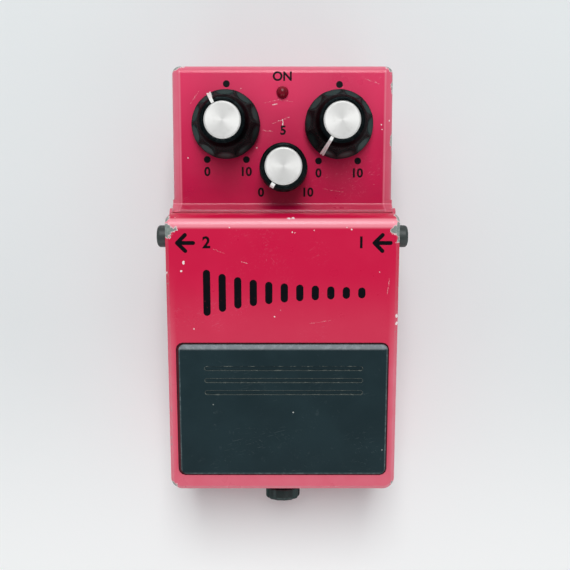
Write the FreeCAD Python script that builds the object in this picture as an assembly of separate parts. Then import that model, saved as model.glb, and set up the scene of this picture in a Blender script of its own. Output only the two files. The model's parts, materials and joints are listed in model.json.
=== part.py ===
import FreeCAD, Part
import math
import os

# Foot pedal for an instrument, built piece by piece in millimetres.
# Frame: +Y points to the rear wall, +Z up, the origin is the middle of the
# footprint on the floor.

# Overall sizes
REAR_Y = 66.5
FRONT_END_Y = -66.5
WALL = 2.2
CASE_BOTTOM_Z = 3.2

# Case plan
LOWER_HALF_WIDTH = 33.6
LOWER_FRONT_HALF_WIDTH = 33.35
LOWER_FRONT_Y = -59.3
LOWER_CORNER_R = 3.3
REAR_CORNER_R = 2.3
CONTROL_HALF_WIDTH = 32.5
UPPER_HALF_WIDTH = 31.0
UPPER_FRONT_Y = -56.7
TUB_HALF_WIDTH = 29.0
TUB_FRONT_Y = -54.0
DECK_Z = 25.0
DECK_THICKNESS = 1.8

# Control panel, a plane that falls towards the treadle
PANEL_SLOPE = 8.87
PANEL_REAR_Z = 46.48
PANEL_FRONT_Y = 25.85
PANEL_EDGE_R = 2.3
RIDGE_TOP_Z = 43.98
RIDGE_REAR_Y = 23.85
RIDGE_EDGE_R = 0.45
RAMP_FOOT_R = 0.7

# Treadle and its hinge
HINGE_Y = 16.1
HINGE_Z = 43.6
TREADLE_SLOPE = 10.29
TREADLE_ABOVE_HINGE = 5.13
TREADLE_WALL = 2.0
TREADLE_FRONT_Y = -59.76
TREADLE_HALF_WIDTH = 33.75
TREADLE_INNER_HALF_WIDTH = 31.8
TREADLE_CORNER_R = 3.4
TREADLE_EDGE = 1.1
NOSE_R = 6.8
CREST_R = 3.0
NOSE_END_DEG = -2.0
SKIRT_SLOPE = 7.45
PRESS_DEG = 2.2
RIB_FRONT_Y = -49.5
RIB_REAR_Y = 8.0
LEDGE_GAP = 0.45

# Rubber pad in its recess
PAD_REAR_Y = -15.1
PAD_FRONT_Y = -55.3
PAD_HALF_WIDTH = 31.26
PAD_CORNER_R = 2.0
PAD_RECESS = 0.9
PAD_PROUD = 0.7
PAD_GAP = 0.3

# Hinge pins
PIN_R = 1.6
PIN_HOLE_R = 1.65
BUSH_R = 2.3
EAR_R = 2.8
CAP_R = 3.25
CAP_OUT_X = 36.5

# Thumbscrew, backed out three turns from its seat
SCREW_Z = 19.0
SCREW_R = 2.0
SCREW_HOLE_R = 2.12
SCREW_PITCH = 0.7
SCREW_TURNS_OUT = 3
SCREW_KNOB_R = 5.5
TONGUE_R = 7.0
CHANNEL_FLOOR_Y = -56.2
CHANNEL_HALF_WIDTH = 8.2

# Dials on the panel: foot X and Y, and pointer angle from the rear, turning
# counter-clockwise seen from above
LEFT_DIAL = (-16.5, 48.9, 28.8)
RIGHT_DIAL = (16.5, 48.9, 150.0)
CENTRE_DIAL = (0.3, 36.6, 150.0)
LAMP = (0.0, 58.2)
LARGE_KNOB_R = 10.0
LARGE_KNOB_H = 14.7
LARGE_CAP_R = 5.15
SMALL_KNOB_R = 7.1
SMALL_KNOB_H = 12.3
SMALL_CAP_R = 5.3
KNOB_LIFT = 1.2
FLUTES = 10
SHAFT_R = 3.0

# Sockets
JACK_Y = 14.5
JACK_Z = 20.5
JACK_BORE_R = 3.25
JACK_SLEEVE_R = 4.75
JACK_OUT_X = 36.3
JACK_INNER_X = 11.0
POWER_Z = 22.0
POWER_BORE_R = 2.85
POWER_PIN_R = 1.05

# Battery well
WELL_X = (-29.0, -1.2)
WELL_Y = (-51.3, 4.2)
WELL_FLOOR_Z = 5.0
BATTERY_SIZE = (26.2, 48.0, 17.0)

# Foot switch and return spring, on the right of the deck
SWITCH_X = 15.5
SWITCH_Y = -44.0
SPRING_Y = -24.0
SPRING_MEAN_R = 4.6
SPRING_WIRE_R = 0.55
SPRING_TURNS = 5.5

# Circuit boards
BOARD_Z = 8.5
BOARD_THICKNESS = 1.6
CASE_SCREWS = [(27.5, -54.0), (-27.5, -54.0), (27.5, 61.0), (-27.5, 61.0)]
BOARD_SCREWS = [(28.3, 50.0), (-28.3, 50.0), (28.3, -30.0)]

TOUCH = 0.05
HINGE = (HINGE_Y, HINGE_Z)

os.makedirs("parts", exist_ok=True)


# Small geometry helpers

def vec(x, y, z):
    return FreeCAD.Vector(x, y, z)


def block(x0, x1, y0, y1, z0, z1):
    return Part.makeBox(x1 - x0, y1 - y0, z1 - z0, vec(x0, y0, z0))


def rod(start, direction, radius, length, sides=0):
    """Round bar, or one with flats whose corners lie on the radius."""
    if not sides:
        return Part.makeCylinder(radius, length, vec(*start), vec(*direction))
    return on_axis(many_sided([(radius, 0), (radius, length)], sides), start, direction)


def many_sided(profile, sides):
    """Stack of frustums with this many sides, from (radius, height) points going up."""
    rings = []
    for radius, height in profile:
        rings.append([vec(*polar((0, 0), radius, 360 / sides * (i + 0.5)), height) for i in range(sides)])
    return skinned(rings, True)


def skinned(rings, flat_sides):
    """Solid between rings of as many points each, closed at both ends.

    Where the sides between two rings aren't flat, each is split in two.
    """
    faces = [Part.Face(Part.makePolygon(ring + ring[:1])) for ring in (rings[0], rings[-1])]
    count = len(rings[0])
    for lower, upper in zip(rings, rings[1:]):
        for i in range(count):
            j = (i + 1) % count
            corners = [lower[i], lower[j], upper[j], upper[i]]
            pieces = [corners] if flat_sides else [corners[:3], [lower[i], upper[j], upper[i]]]
            for piece in pieces:
                faces.append(Part.Face(Part.makePolygon(piece + piece[:1])))
    solid = Part.Solid(Part.Shell(faces))
    if solid.Volume < 0:
        solid.reverse()
    return solid


def ring(start, direction, outer, inner, length, sides=0):
    return rod(start, direction, outer, length, sides).cut(rod(start, direction, inner, length, sides))


def joined(shapes):
    return shapes[0].fuse(shapes[1:]).removeSplitter()


def grouped(shapes):
    return Part.makeCompound(shapes)


def mirrored(shape):
    return shape.mirror(vec(0, 0, 0), vec(1, 0, 0))


def polar(centre, radius, degrees):
    angle = math.radians(degrees)
    return (centre[0] + radius * math.cos(angle), centre[1] + radius * math.sin(angle))


def line_z(slope, through, y):
    """Height at y of the line with this slope in degrees through a (y, z) point."""
    return through[1] + (y - through[0]) * math.tan(math.radians(slope))


def rounded_edges(points, radii, place):
    """Edges of a closed outline whose corners are rounded by the given radii."""
    count = len(points)
    starts, ends, arcs = [], [], []
    for index in range(count):
        corner = place(*points[index])
        before = place(*points[index - 1])
        after = place(*points[(index + 1) % count])
        radius = radii[index]
        if radius == 0:
            starts.append(corner)
            ends.append(corner)
            arcs.append(None)
            continue
        back = (before - corner).normalize()
        ahead = (after - corner).normalize()
        half = back.getAngle(ahead) / 2
        reach = radius / math.tan(half)
        towards = (back + ahead).normalize()
        middle = corner + towards * (radius / math.sin(half) - radius)
        first = corner + back * reach
        last = corner + ahead * reach
        starts.append(first)
        ends.append(last)
        arcs.append(Part.Arc(first, middle, last).toShape())
    edges = []
    for index in range(count):
        if arcs[index]:
            edges.append(arcs[index])
        following = starts[(index + 1) % count]
        if ends[index].distanceToPoint(following) > 1e-6:
            edges.append(Part.LineSegment(ends[index], following).toShape())
    return edges


def outline_face(points, radii, place):
    return Part.Face(Part.Wire(rounded_edges(points, radii, place)))


def plan_prism(points, radii, z0, z1):
    face = outline_face(points, radii, lambda x, y: vec(x, y, z0))
    return face.extrude(vec(0, 0, z1 - z0))


def clipped_plan(half_width, front, rear, clip, z0, z1):
    """Block whose two front corners are cut off at 45 degrees."""
    points = [(clip - half_width, front), (half_width - clip, front), (half_width, front + clip),
              (half_width, rear), (-half_width, rear), (-half_width, front + clip)]
    return plan_prism(points, [0] * 6, z0, z1)


def slab_ring(half_front, half_rear, front, rear, radius, height):
    """Points round a nearly square-cornered slab, each corner rounded in three flats."""
    points = []
    for side, end, start in ((-1, -1, 180), (1, -1, 270), (1, 1, 0), (-1, 1, 90)):
        half, y = (half_front, front) if end < 0 else (half_rear, rear)
        centre = (side * (half - radius), y - end * radius)
        points += [vec(*polar(centre, radius, start + 30 * step), height) for step in range(4)]
    return points


def side_prism(points, radii, x0, x1):
    """Prism whose outline is given in Y and Z, from x0 to x1."""
    face = outline_face(points, radii, lambda y, z: vec(x0, y, z))
    return face.extrude(vec(x1 - x0, 0, 0))


def arc_yz(centre, radius, start, end, x):
    middle = polar(centre, radius, (start + end) / 2)
    first = polar(centre, radius, start)
    last = polar(centre, radius, end)
    return Part.Arc(vec(x, *first), vec(x, *middle), vec(x, *last)).toShape()


def side_solid(pieces, x0, x1):
    """Solid between x0 and x1 from a chain of (y, z) points and arcs.

    An arc is (centre, radius, start, end); straight lines join what follows.
    """
    edges = []
    first = None
    here = None
    for piece in pieces:
        is_arc = len(piece) == 4
        start = polar(piece[0], piece[1], piece[2]) if is_arc else piece
        if here is None:
            first = start
        elif math.dist(here, start) > 1e-6:
            edges.append(Part.LineSegment(vec(x0, *here), vec(x0, *start)).toShape())
        here = start
        if is_arc:
            edges.append(arc_yz(*piece, x0))
            here = polar(piece[0], piece[1], piece[3])
    edges.append(Part.LineSegment(vec(x0, *here), vec(x0, *first)).toShape())
    return Part.Face(Part.Wire(edges)).extrude(vec(x1 - x0, 0, 0))


def on_axis(shape, position, direction):
    """The shape, built along +Z at the origin, moved to a position and axis."""
    moved = shape.copy()
    moved.Placement = FreeCAD.Placement(
        vec(*position), FreeCAD.Rotation(vec(0, 0, 1), vec(*direction)))
    return moved


def rounded(shape, radius, chooses):
    """Fillet the edges that the test picks."""
    edges = [edge for edge in shape.Edges if chooses(edge)]
    return shape.makeFillet(radius, edges)


def lies_on(edge, height):
    """Do all of the edge's vertices lie at the height that a rule gives?"""
    return all(abs(v.Z - height(v.Y)) < 1e-4 for v in edge.Vertexes)


def hexagon(across_flats, bore, height, sides=0):
    prism = rod((0, 0, 0), (0, 0, 1), across_flats / math.sqrt(3), height, 6)
    return prism.cut(rod((0, 0, 0), (0, 0, 1), bore, height, sides))


# The planes that set the shape

def panel_z(y):
    return line_z(PANEL_SLOPE, (REAR_Y, PANEL_REAR_Z), y)


def treadle_plane_z(y, above_hinge=TREADLE_ABOVE_HINGE, slope=TREADLE_SLOPE):
    rise = above_hinge / math.cos(math.radians(slope))
    return line_z(slope, (HINGE_Y, HINGE_Z + rise), y)


def treadle_under_z(y):
    return treadle_plane_z(y, TREADLE_ABOVE_HINGE - TREADLE_WALL)


def skirt_tangent(radius, slope):
    """Point where a line of this slope touches the underside of a hinge circle."""
    return polar(HINGE, radius, -90 + slope)


PANEL_NORMAL = (0, -math.sin(math.radians(PANEL_SLOPE)), math.cos(math.radians(PANEL_SLOPE)))


def on_panel(shape, x, y, height=0.0, turn=0.0):
    """Place a shape built along +Z so that it stands on the panel."""
    moved = shape.copy()
    moved.rotate(vec(0, 0, 0), vec(0, 0, 1), turn)
    moved.rotate(vec(0, 0, 0), vec(1, 0, 0), PANEL_SLOPE)
    moved.translate(vec(x, y, panel_z(y)) + vec(*PANEL_NORMAL) * height)
    return moved


# Case shell

SEAT_R = NOSE_R + LEDGE_GAP
LEDGE_SLOPE = SKIRT_SLOPE + PRESS_DEG
RIM_SLOPE = TREADLE_SLOPE + PRESS_DEG
WELL_WALL = 1.5
DRAFT_HEIGHT = 42.0
DRAFT = (LOWER_HALF_WIDTH - CONTROL_HALF_WIDTH) / DRAFT_HEIGHT


def drafted_prism(side_outline, side_radii, inset, top_z=60.0, top_radius=0.0):
    """Side outline carried across the case between its two drafted side walls."""
    low = LOWER_HALF_WIDTH - inset
    high = low - DRAFT * (top_z - CASE_BOTTOM_Z)
    across = outline_face(
        [(-low, CASE_BOTTOM_Z), (low, CASE_BOTTOM_Z), (high, top_z), (-high, top_z)],
        [0, 0, top_radius, top_radius], lambda x, z: vec(x, 0, z))
    along = side_prism(side_outline, side_radii, -40, 40)
    return across.extrude(vec(0, 80, 0)).common(along)


def upright_rear_corner(edge):
    ends = edge.Vertexes
    return len(ends) == 2 and abs(ends[0].Z - ends[1].Z) > 12 and edge.CenterOfMass.y > 55


def control_housing():
    """Rear housing under the dials, its top edge rounded on three sides."""
    front = PANEL_FRONT_Y
    rear_top = REAR_Y - 0.3
    outline = [(front, CASE_BOTTOM_Z), (REAR_Y, CASE_BOTTOM_Z), (rear_top, panel_z(rear_top)),
               (front, panel_z(front))]
    body = drafted_prism(outline, [0] * 4, 0.0)
    body = rounded(body, REAR_CORNER_R, upright_rear_corner)
    return rounded(body, PANEL_EDGE_R, lambda e: lies_on(e, panel_z) and e.CenterOfMass.y > front + 1)


def ridge():
    """Cross ridge between the panel and the treadle, with its ramp."""
    overlap_y = PANEL_FRONT_Y + 1.5
    ledge = skirt_tangent(SEAT_R, LEDGE_SLOPE)
    outline = [
        (ledge[0], CASE_BOTTOM_Z), ledge, (18.5, 40.0), (21.0, RIDGE_TOP_Z), (RIDGE_REAR_Y, RIDGE_TOP_Z),
        (PANEL_FRONT_Y, panel_z(PANEL_FRONT_Y)), (overlap_y, panel_z(overlap_y)), (overlap_y, CASE_BOTTOM_Z)]
    radii = [0, 0, 0, 0, RIDGE_EDGE_R, RAMP_FOOT_R, 0, 0]
    return drafted_prism(outline, radii, 0.0, RIDGE_TOP_Z, PANEL_EDGE_R)


def tub_rear_wall():
    """Slanted wall between the deck and the seat of the treadle's nose."""
    ledge = skirt_tangent(SEAT_R, LEDGE_SLOPE)
    outline = [(3.0, 18.0), (3.0, DECK_Z), (12.1, 38.5), (ledge[0] + 1, 38.5), (ledge[0] + 1, 18.0)]
    return side_prism(outline, [0] * 5, -UPPER_HALF_WIDTH, UPPER_HALF_WIDTH)


def lower_body():
    """Wide lower part whose sides stand flush with the treadle."""
    front, rear = LOWER_FRONT_Y, 27.4
    ledge = skirt_tangent(SEAT_R, LEDGE_SLOPE)
    plan = plan_prism(
        [(-LOWER_FRONT_HALF_WIDTH, front), (LOWER_FRONT_HALF_WIDTH, front), (LOWER_HALF_WIDTH, rear),
         (-LOWER_HALF_WIDTH, rear)],
        [LOWER_CORNER_R, LOWER_CORNER_R, 1.0, 1.0], CASE_BOTTOM_Z, 45.0)
    side = side_prism(
        [(front - 1, CASE_BOTTOM_Z), (front - 1, line_z(LEDGE_SLOPE, ledge, front - 1)), ledge,
         (ledge[0], 41.2), (23.6, 41.2), (24.8, 40.2), (rear, CASE_BOTTOM_Z)],
        [0] * 7, -40, 40)
    return plan.common(side)


def hinge_circle_solid(radius, half_width):
    return rod((-half_width, HINGE_Y, HINGE_Z), (1, 0, 0), radius, 2 * half_width)


def upper_body():
    """Narrow upper walls that stand inside the treadle and end in the hinge ears."""
    ear_top = polar(HINGE, EAR_R, 90 + RIM_SLOPE)
    pieces = [
        (UPPER_FRONT_Y, DECK_Z - 6),
        (UPPER_FRONT_Y, line_z(RIM_SLOPE, ear_top, UPPER_FRONT_Y)),
        (HINGE, EAR_R, 90 + RIM_SLOPE, -45),
        (12.8, 36.7),
        (8.0, 33.0),
        (8.0, DECK_Z - 6),
    ]
    body = side_solid(pieces, -UPPER_HALF_WIDTH, UPPER_HALF_WIDTH)
    return body.common(clipped_plan(UPPER_HALF_WIDTH, UPPER_FRONT_Y, 30, 1.8, 0, 60))


def tub_space():
    """The open recess under the treadle, above the deck."""
    side = side_prism(
        [(TUB_FRONT_Y, DECK_Z), (3.9, DECK_Z), (12.1, 37.0), (12.1, 38.5), (20.0, 38.5), (20.0, 60),
         (TUB_FRONT_Y, 60)], [0] * 7, -TUB_HALF_WIDTH, TUB_HALF_WIDTH)
    plan = clipped_plan(TUB_HALF_WIDTH, TUB_FRONT_Y, 30, 1.0, 0, 70)
    trough_inside = hinge_circle_solid(SEAT_R, TUB_HALF_WIDTH)
    return side.common(plan).fuse(trough_inside)


def electronics_space():
    """The hollow under the panel and the deck, open at the bottom."""
    ceiling = WALL / math.cos(math.radians(PANEL_SLOPE))
    rear_y = REAR_Y - WALL
    outline = [(5.9, CASE_BOTTOM_Z), (5.9, 23.9), (13.8, 35.9), (15.0, 37.6), (25.6, 37.6),
               (27.0, panel_z(27.0) - ceiling), (rear_y - 0.3, panel_z(rear_y) - ceiling),
               (rear_y, CASE_BOTTOM_Z)]
    rear = drafted_prism(outline, [0] * 8, WALL)
    rear = rear.cut(hinge_circle_solid(SEAT_R + 2.0, 40))
    underside = DECK_Z - DECK_THICKNESS
    right = WELL_X[1] + WELL_WALL
    side = LOWER_FRONT_HALF_WIDTH - WALL
    front = LOWER_FRONT_Y + 2.4
    arm = block(right, side, WELL_Y[0], 6.5, 2.0, underside)
    pockets = [block(10.4, side, front, WELL_Y[0] + 1, 2.0, underside),
               block(-side, -10.4, front, WELL_Y[0] - WELL_WALL, 2.0, underside)]
    return rear.fuse([arm] + pockets)


def case_bosses():
    """Screw bosses for the base plate and the main board."""
    bosses = []
    foot_z = BOARD_Z + BOARD_THICKNESS
    for x, y in CASE_SCREWS:
        bosses.append(rod((x, y, CASE_BOTTOM_Z), (0, 0, 1), 3.6, 14, 10))
    for x, y in BOARD_SCREWS:
        bosses.append(rod((x, y, foot_z), (0, 0, 1), 3.2, 10, 8))
        wall_x = math.copysign(31.5, x)
        bosses.append(block(min(x, wall_x), max(x, wall_x), y - 1.2, y + 1.2, foot_z, foot_z + 10))
    return bosses


def channel_space():
    """Round-ended channel in the front wall that the treadle's tongue hangs in."""
    low = SCREW_Z - 3.0 - CHANNEL_HALF_WIDTH
    outline = [(-CHANNEL_HALF_WIDTH, low), (CHANNEL_HALF_WIDTH, low), (CHANNEL_HALF_WIDTH, 40),
               (-CHANNEL_HALF_WIDTH, 40)]
    corner = CHANNEL_HALF_WIDTH - 0.01
    face = outline_face(outline, [corner, corner, 0, 0], lambda x, z: vec(x, LOWER_FRONT_Y - 5, z))
    return face.extrude(vec(0, CHANNEL_FLOOR_Y - LOWER_FRONT_Y + 5, 0))


def bush_outline(half_width, z0, z1, radius, y):
    points = [(-half_width, z0), (half_width, z0), (half_width, z1), (-half_width, z1)]
    return outline_face(points, [radius] * 4, lambda x, z: vec(x, y, z))


def make_case_shell():
    core = joined([control_housing(), ridge(), lower_body(), tub_rear_wall()])
    core = core.cut(hinge_circle_solid(SEAT_R, 40))
    shell = core.fuse(upper_body())
    shell = shell.cut(tub_space())
    shell = shell.cut(electronics_space())
    ears = [rod((s * UPPER_HALF_WIDTH, HINGE_Y, HINGE_Z), (-s, 0, 0), EAR_R, 4.5, 12) for s in (-1, 1)]
    side = LOWER_HALF_WIDTH - 1
    inside = block(-side, side, LOWER_FRONT_Y + 1, REAR_Y - 1, CASE_BOTTOM_Z, 30)
    bosses = [boss.common(inside) for boss in case_bosses()]
    spring_spigot = rod((SWITCH_X, SPRING_Y, DECK_Z - 0.5), (0, 0, 1), 3.7, 3.0, 12)
    shell = shell.fuse(ears + bosses + [spring_spigot])
    well = block(WELL_X[0], WELL_X[1], WELL_Y[0], WELL_Y[1], WELL_FLOOR_Z, DECK_Z + 1)
    gap = 6.2
    left, right = SWITCH_X - gap, SWITCH_X + gap
    switch_hole = block(left, right, SWITCH_Y - gap, SWITCH_Y + gap, DECK_Z - 6, DECK_Z + 1)
    cuts = [well, switch_hole, channel_space()]
    cuts.append(bush_outline(4.2, 12.3, 22.9, 0, CHANNEL_FLOOR_Y - 1).extrude(vec(0, 4.1, 0)))
    for s in (-1, 1):
        cuts.append(rod((s * 24, HINGE_Y, HINGE_Z), (s, 0, 0), BUSH_R, 10, 12))
        cuts.append(rod((s * 25, JACK_Y, JACK_Z), (s, 0, 0), JACK_SLEEVE_R + 0.12, 12, 16))
    cuts.append(rod((0, REAR_Y - 6, POWER_Z), (0, 1, 0), 5.6, 8, 20))
    for x, y in CASE_SCREWS:
        cuts.append(rod((x, y, CASE_BOTTOM_Z - 1), (0, 0, 1), 1.5, 12, 8))
    for x, y in BOARD_SCREWS:
        cuts.append(rod((x, y, BOARD_Z), (0, 0, 1), 1.35, 8, 8))
    for x, y, _ in (LEFT_DIAL, RIGHT_DIAL, CENTRE_DIAL):
        cuts.append(on_panel(rod((0, 0, -4), (0, 0, 1), 3.75, 8, 10), x, y))
    cuts.append(on_panel(rod((0, 0, -4), (0, 0, 1), 1.8, 8, 16), *LAMP))
    return shell.cut(cuts).removeSplitter()


# Base

def base_slab(inset, radius, z0, z1):
    """Slab under the case, following its outline."""
    rings = []
    for height in (z0, z1):
        rings.append(slab_ring(
            LOWER_FRONT_HALF_WIDTH - inset, LOWER_HALF_WIDTH - inset, LOWER_FRONT_Y + inset, REAR_Y - inset,
            radius, height))
    return skinned(rings, True)


def make_rubber_base():
    holes = [rod((x, y, -1), (0, 0, 1), 3.7, 4, 8) for x, y in CASE_SCREWS]
    return base_slab(0.9, 2.6, 0.0, 2.0).cut(holes)


def make_base_plate():
    holes = [rod((x, y, 1), (0, 0, 1), 1.8, 4, 6) for x, y in CASE_SCREWS]
    return base_slab(0.1, 3.2, 2.0, CASE_BOTTOM_Z).cut(holes)


def flat_screw(head_r, head_h, shank_r, length):
    """Screw with its bevelled head below the origin and its shank along +Z."""
    head = many_sided([(head_r * 0.85, -head_h), (head_r, 0)], 10)
    return head.fuse(rod((0, 0, 0), (0, 0, 1), shank_r, length, 6))


def make_base_screws():
    screws = []
    for x, y in CASE_SCREWS:
        screws.append(on_axis(flat_screw(3.0, 1.6, 1.35, 9.5), (x, y, 2.0), (0, 0, 1)))
    return grouped(screws)


def make_board_screws():
    screws = []
    for x, y in BOARD_SCREWS:
        screws.append(on_axis(flat_screw(2.4, 1.4, 1.2, 7.0), (x, y, BOARD_Z), (0, 0, 1)))
    return grouped(screws)


def make_insulating_sheet():
    return block(-26, 26, 9, 56, CASE_BOTTOM_Z + TOUCH, CASE_BOTTOM_Z + 0.4)


# Boards and what stands on them

BOARD_TOP = BOARD_Z + BOARD_THICKNESS


def make_main_board():
    outline = [(-30.4, 9), (1.6, 9), (1.6, -50), (30.4, -50), (30.4, 57), (-30.4, 57)]
    board = plan_prism(outline, [0] * 6, BOARD_Z, BOARD_TOP)
    return board.cut([rod((x, y, 5), (0, 0, 1), 1.6, 8, 8) for x, y in BOARD_SCREWS])


CHIPS = [(-15, 31, 19.5, 6.4), (-15, 42, 19.5, 6.4), (8, 30, 9.6, 6.4), (8, 42, 9.6, 6.4), (8, -8, 9.6, 6.4)]
CAPACITORS = [(20, 28, 3.2, 11), (20, 36, 3.2, 11), (20, 45, 2.5, 7), (-4, 50, 2.5, 7), (-21, 51.5, 3.2, 11),
              (26, -6, 2.5, 7), (8, -20, 2.5, 6), (24, -42, 2.0, 5)]
TRIMMERS = [(-0.5, 27), (-0.5, 38), (14, 52), (16, -2)]


def chip(length, width):
    """Dual in-line package on its two rows of legs."""
    body = block(-length / 2, length / 2, -width / 2, width / 2, 0.7, 4.2)
    return body.fuse(block(1 - length / 2, length / 2 - 1, -width / 2 - 0.5, width / 2 + 0.5, 0, 2.4))


def make_board_chips():
    chips = []
    for x, y, length, width in CHIPS:
        shape = chip(length, width)
        shape.translate(vec(x, y, BOARD_TOP))
        chips.append(shape)
    return grouped(chips)


def make_board_capacitors():
    cans = []
    for x, y, radius, height in CAPACITORS:
        cans.append(rod((x, y, BOARD_TOP), (0, 0, 1), radius, height, 8))
    return grouped(cans)


def make_trim_pots():
    pots = []
    for x, y in TRIMMERS:
        body = block(x - 3.2, x + 3.2, y - 3.2, y + 3.2, BOARD_TOP, BOARD_TOP + 4.5)
        rotor = rod((x, y, BOARD_TOP + 3.9), (0, 0, 1), 2.4, 1.0, 6)
        pots.append(body.cut(rotor))
    return grouped(pots)


def make_pot_board():
    """Small board under the dial potentiometers, parallel to the panel."""
    board = block(-26.5, 26.5, -20, 12, 0, BOARD_THICKNESS)
    return on_panel(board, 0, 48.9, -(WALL + 8.5 + BOARD_THICKNESS + TOUCH))


# Dials

def make_potentiometer(dial):
    """Round can, threaded bushing and bore for the shaft."""
    can_h = 8.5
    can = rod((0, 0, 0), (0, 0, 1), 8.2, can_h, 10)
    lugs = [block(x - 1.1, x + 1.1, -10.6, -5.5, 1.2, 2.0) for x in (-5, 0, 5)]
    can = can.fuse(lugs + [rod((0, 0, can_h), (0, 0, 1), 3.5, 6.2, 10)])
    can = can.cut(rod((0, 0, 2.0), (0, 0, 1), SHAFT_R + 0.2, can_h + 6.2, 10))
    return on_panel(can, dial[0], dial[1], -(WALL + can_h))


def make_pot_nuts():
    nut = hexagon(9.5, 3.7, 2.0, 10)
    nuts = [on_panel(nut, x, y, 0.6) for x, y, _ in (LEFT_DIAL, RIGHT_DIAL, CENTRE_DIAL)]
    return grouped(nuts)


def make_pot_washers():
    washer = ring((0, 0, 0), (0, 0, 1), 5.6, 3.7, 0.6, 10)
    return grouped([on_panel(washer, d[0], d[1]) for d in (LEFT_DIAL, RIGHT_DIAL, CENTRE_DIAL)])


def make_shaft(dial, knob_h):
    """Flatted shaft from inside the can up into the knob."""
    bottom = -(WALL + 6.3)
    length = knob_h - 3.0 - bottom
    shaft = rod((0, 0, 0), (0, 0, 1), SHAFT_R, length)
    flat = block(-4, 4, 1.6, 4, length - 7.0, length + 1)
    return on_panel(shaft.cut(flat), dial[0], dial[1], bottom, dial[2])


def shaft_socket(knob_h):
    """The D-shaped hole that the knob has for its shaft."""
    top = knob_h - 3.0
    hole = rod((0, 0, 0), (0, 0, 1), SHAFT_R + 0.06, top, 16)
    flat = block(-4, 4, 1.6, 4, top - 7.0, top + 1)
    return hole.cut(flat)


CONE_TOP_R = 6.4
CONE_TOP_H = 13.8
RIM_H = 3.0
FLUTE_DEPTH = 0.75
FLUTE_END_H = 8.6
CAP_SIDES = 30


def fluted_ring(radius, depth, height):
    """Points of a circle with shallow scoops between ridges."""
    count = FLUTES * 4
    points = []
    for index in range(count):
        angle = 360 / count * index
        scoop = (1 - math.cos(math.radians(angle * FLUTES))) / 2
        points.append(vec(*polar((0, 0), radius - depth * scoop, angle + 90), height))
    return points


def cone_radius(height):
    """Radius of the knob's cone at a height over the panel."""
    return LARGE_KNOB_R - (height - RIM_H) * (LARGE_KNOB_R - CONE_TOP_R) / (CONE_TOP_H - RIM_H)


def make_large_knob(dial):
    """Skirted knob: a cone whose lower part has wide scoops that fade out upwards."""
    top = LARGE_KNOB_H - 0.35
    levels = [
        (LARGE_KNOB_R, FLUTE_DEPTH, KNOB_LIFT), (LARGE_KNOB_R, FLUTE_DEPTH, RIM_H),
        (cone_radius(FLUTE_END_H), 0, FLUTE_END_H),
        (CONE_TOP_R, 0, CONE_TOP_H), (6.0, 0, top)]
    knob = skinned([fluted_ring(*level) for level in levels], False)
    hollow = many_sided([(8.3, 0), (8.3, 2.6), (6.8, 6.4)], 10)
    hub = rod((0, 0, 4.0), (0, 0, 1), 4.6, 4, 10)
    seat = rod((0, 0, top - 0.5), (0, 0, 1), LARGE_CAP_R + 0.03, 2, CAP_SIDES)
    groove = pointer_solid(LARGE_KNOB_R, RIM_H, CONE_TOP_R, CONE_TOP_H, 0.3)
    knob = knob.cut(hollow).fuse(hub).cut([seat, groove, shaft_socket(LARGE_KNOB_H)])
    return on_panel(knob, dial[0], dial[1], 0, dial[2])


def pointer_solid(low_r, low_h, high_r, high_h, proud):
    """Bar of the pointer line, from the skirt's rim up to the cap."""
    half = 0.5
    depth = 0.5
    slope = math.hypot(low_r - high_r, high_h - low_h)
    out_r = (high_h - low_h) / slope
    out_h = (low_r - high_r) / slope
    points = []
    corners = ((low_r, low_h, proud), (high_r, high_h, proud), (high_r, high_h, -depth),
               (low_r, low_h, -depth))
    for r, h, off in corners:
        points.append((r + out_r * off, h + out_h * off))
    face = Part.Face(Part.makePolygon([vec(-half, r, h) for r, h in points + points[:1]]))
    return face.extrude(vec(2 * half, 0, 0))


def make_large_pointer(dial):
    bar = pointer_solid(LARGE_KNOB_R, RIM_H, CONE_TOP_R, CONE_TOP_H, 0.2)
    return on_panel(bar, dial[0], dial[1], 0, dial[2])


def cap_disc(radius, top, thickness):
    return many_sided([(radius, top - thickness), (radius, top - 0.3), (radius - 0.3, top)], CAP_SIDES)


def make_large_cap(dial):
    disc = cap_disc(LARGE_CAP_R - 0.02, LARGE_KNOB_H, 0.85)
    return on_panel(disc, dial[0], dial[1], 0, dial[2])


def make_small_knob(dial):
    """Plain round knob with a bevelled top edge."""
    top = SMALL_KNOB_H - 0.3
    outside = many_sided(
        [(SMALL_KNOB_R, 0.9), (SMALL_KNOB_R, 2.4), (6.6, top - 0.8), (6.0, top)], 36)
    hollow = rod((0, 0, 0), (0, 0, 1), 5.9, 4.0, 10)
    seat = rod((0, 0, top - 0.5), (0, 0, 1), SMALL_CAP_R + 0.03, 2, CAP_SIDES)
    knob = outside.cut([hollow, seat, small_mark(0.3), shaft_socket(SMALL_KNOB_H)])
    return on_panel(knob, dial[0], dial[1], 0, dial[2])


def small_mark(proud):
    """Short white mark over the knob's top edge."""
    top = SMALL_KNOB_H - 0.3
    points = [(5.6, top + proud), (6.0, top + proud), (6.55 + proud, top - 0.8), (6.62 + proud, top - 2.2),
              (6.0, top - 2.2), (5.6, top - 0.8)]
    face = Part.Face(Part.makePolygon([vec(-0.55, r, h) for r, h in points + points[:1]]))
    return face.extrude(vec(1.1, 0, 0))


def make_small_pointer(dial):
    return on_panel(small_mark(0.12), dial[0], dial[1], 0, dial[2])


def make_small_cap(dial):
    disc = cap_disc(SMALL_CAP_R - 0.02, SMALL_KNOB_H, 0.8)
    return on_panel(disc, dial[0], dial[1], 0, dial[2])


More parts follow.
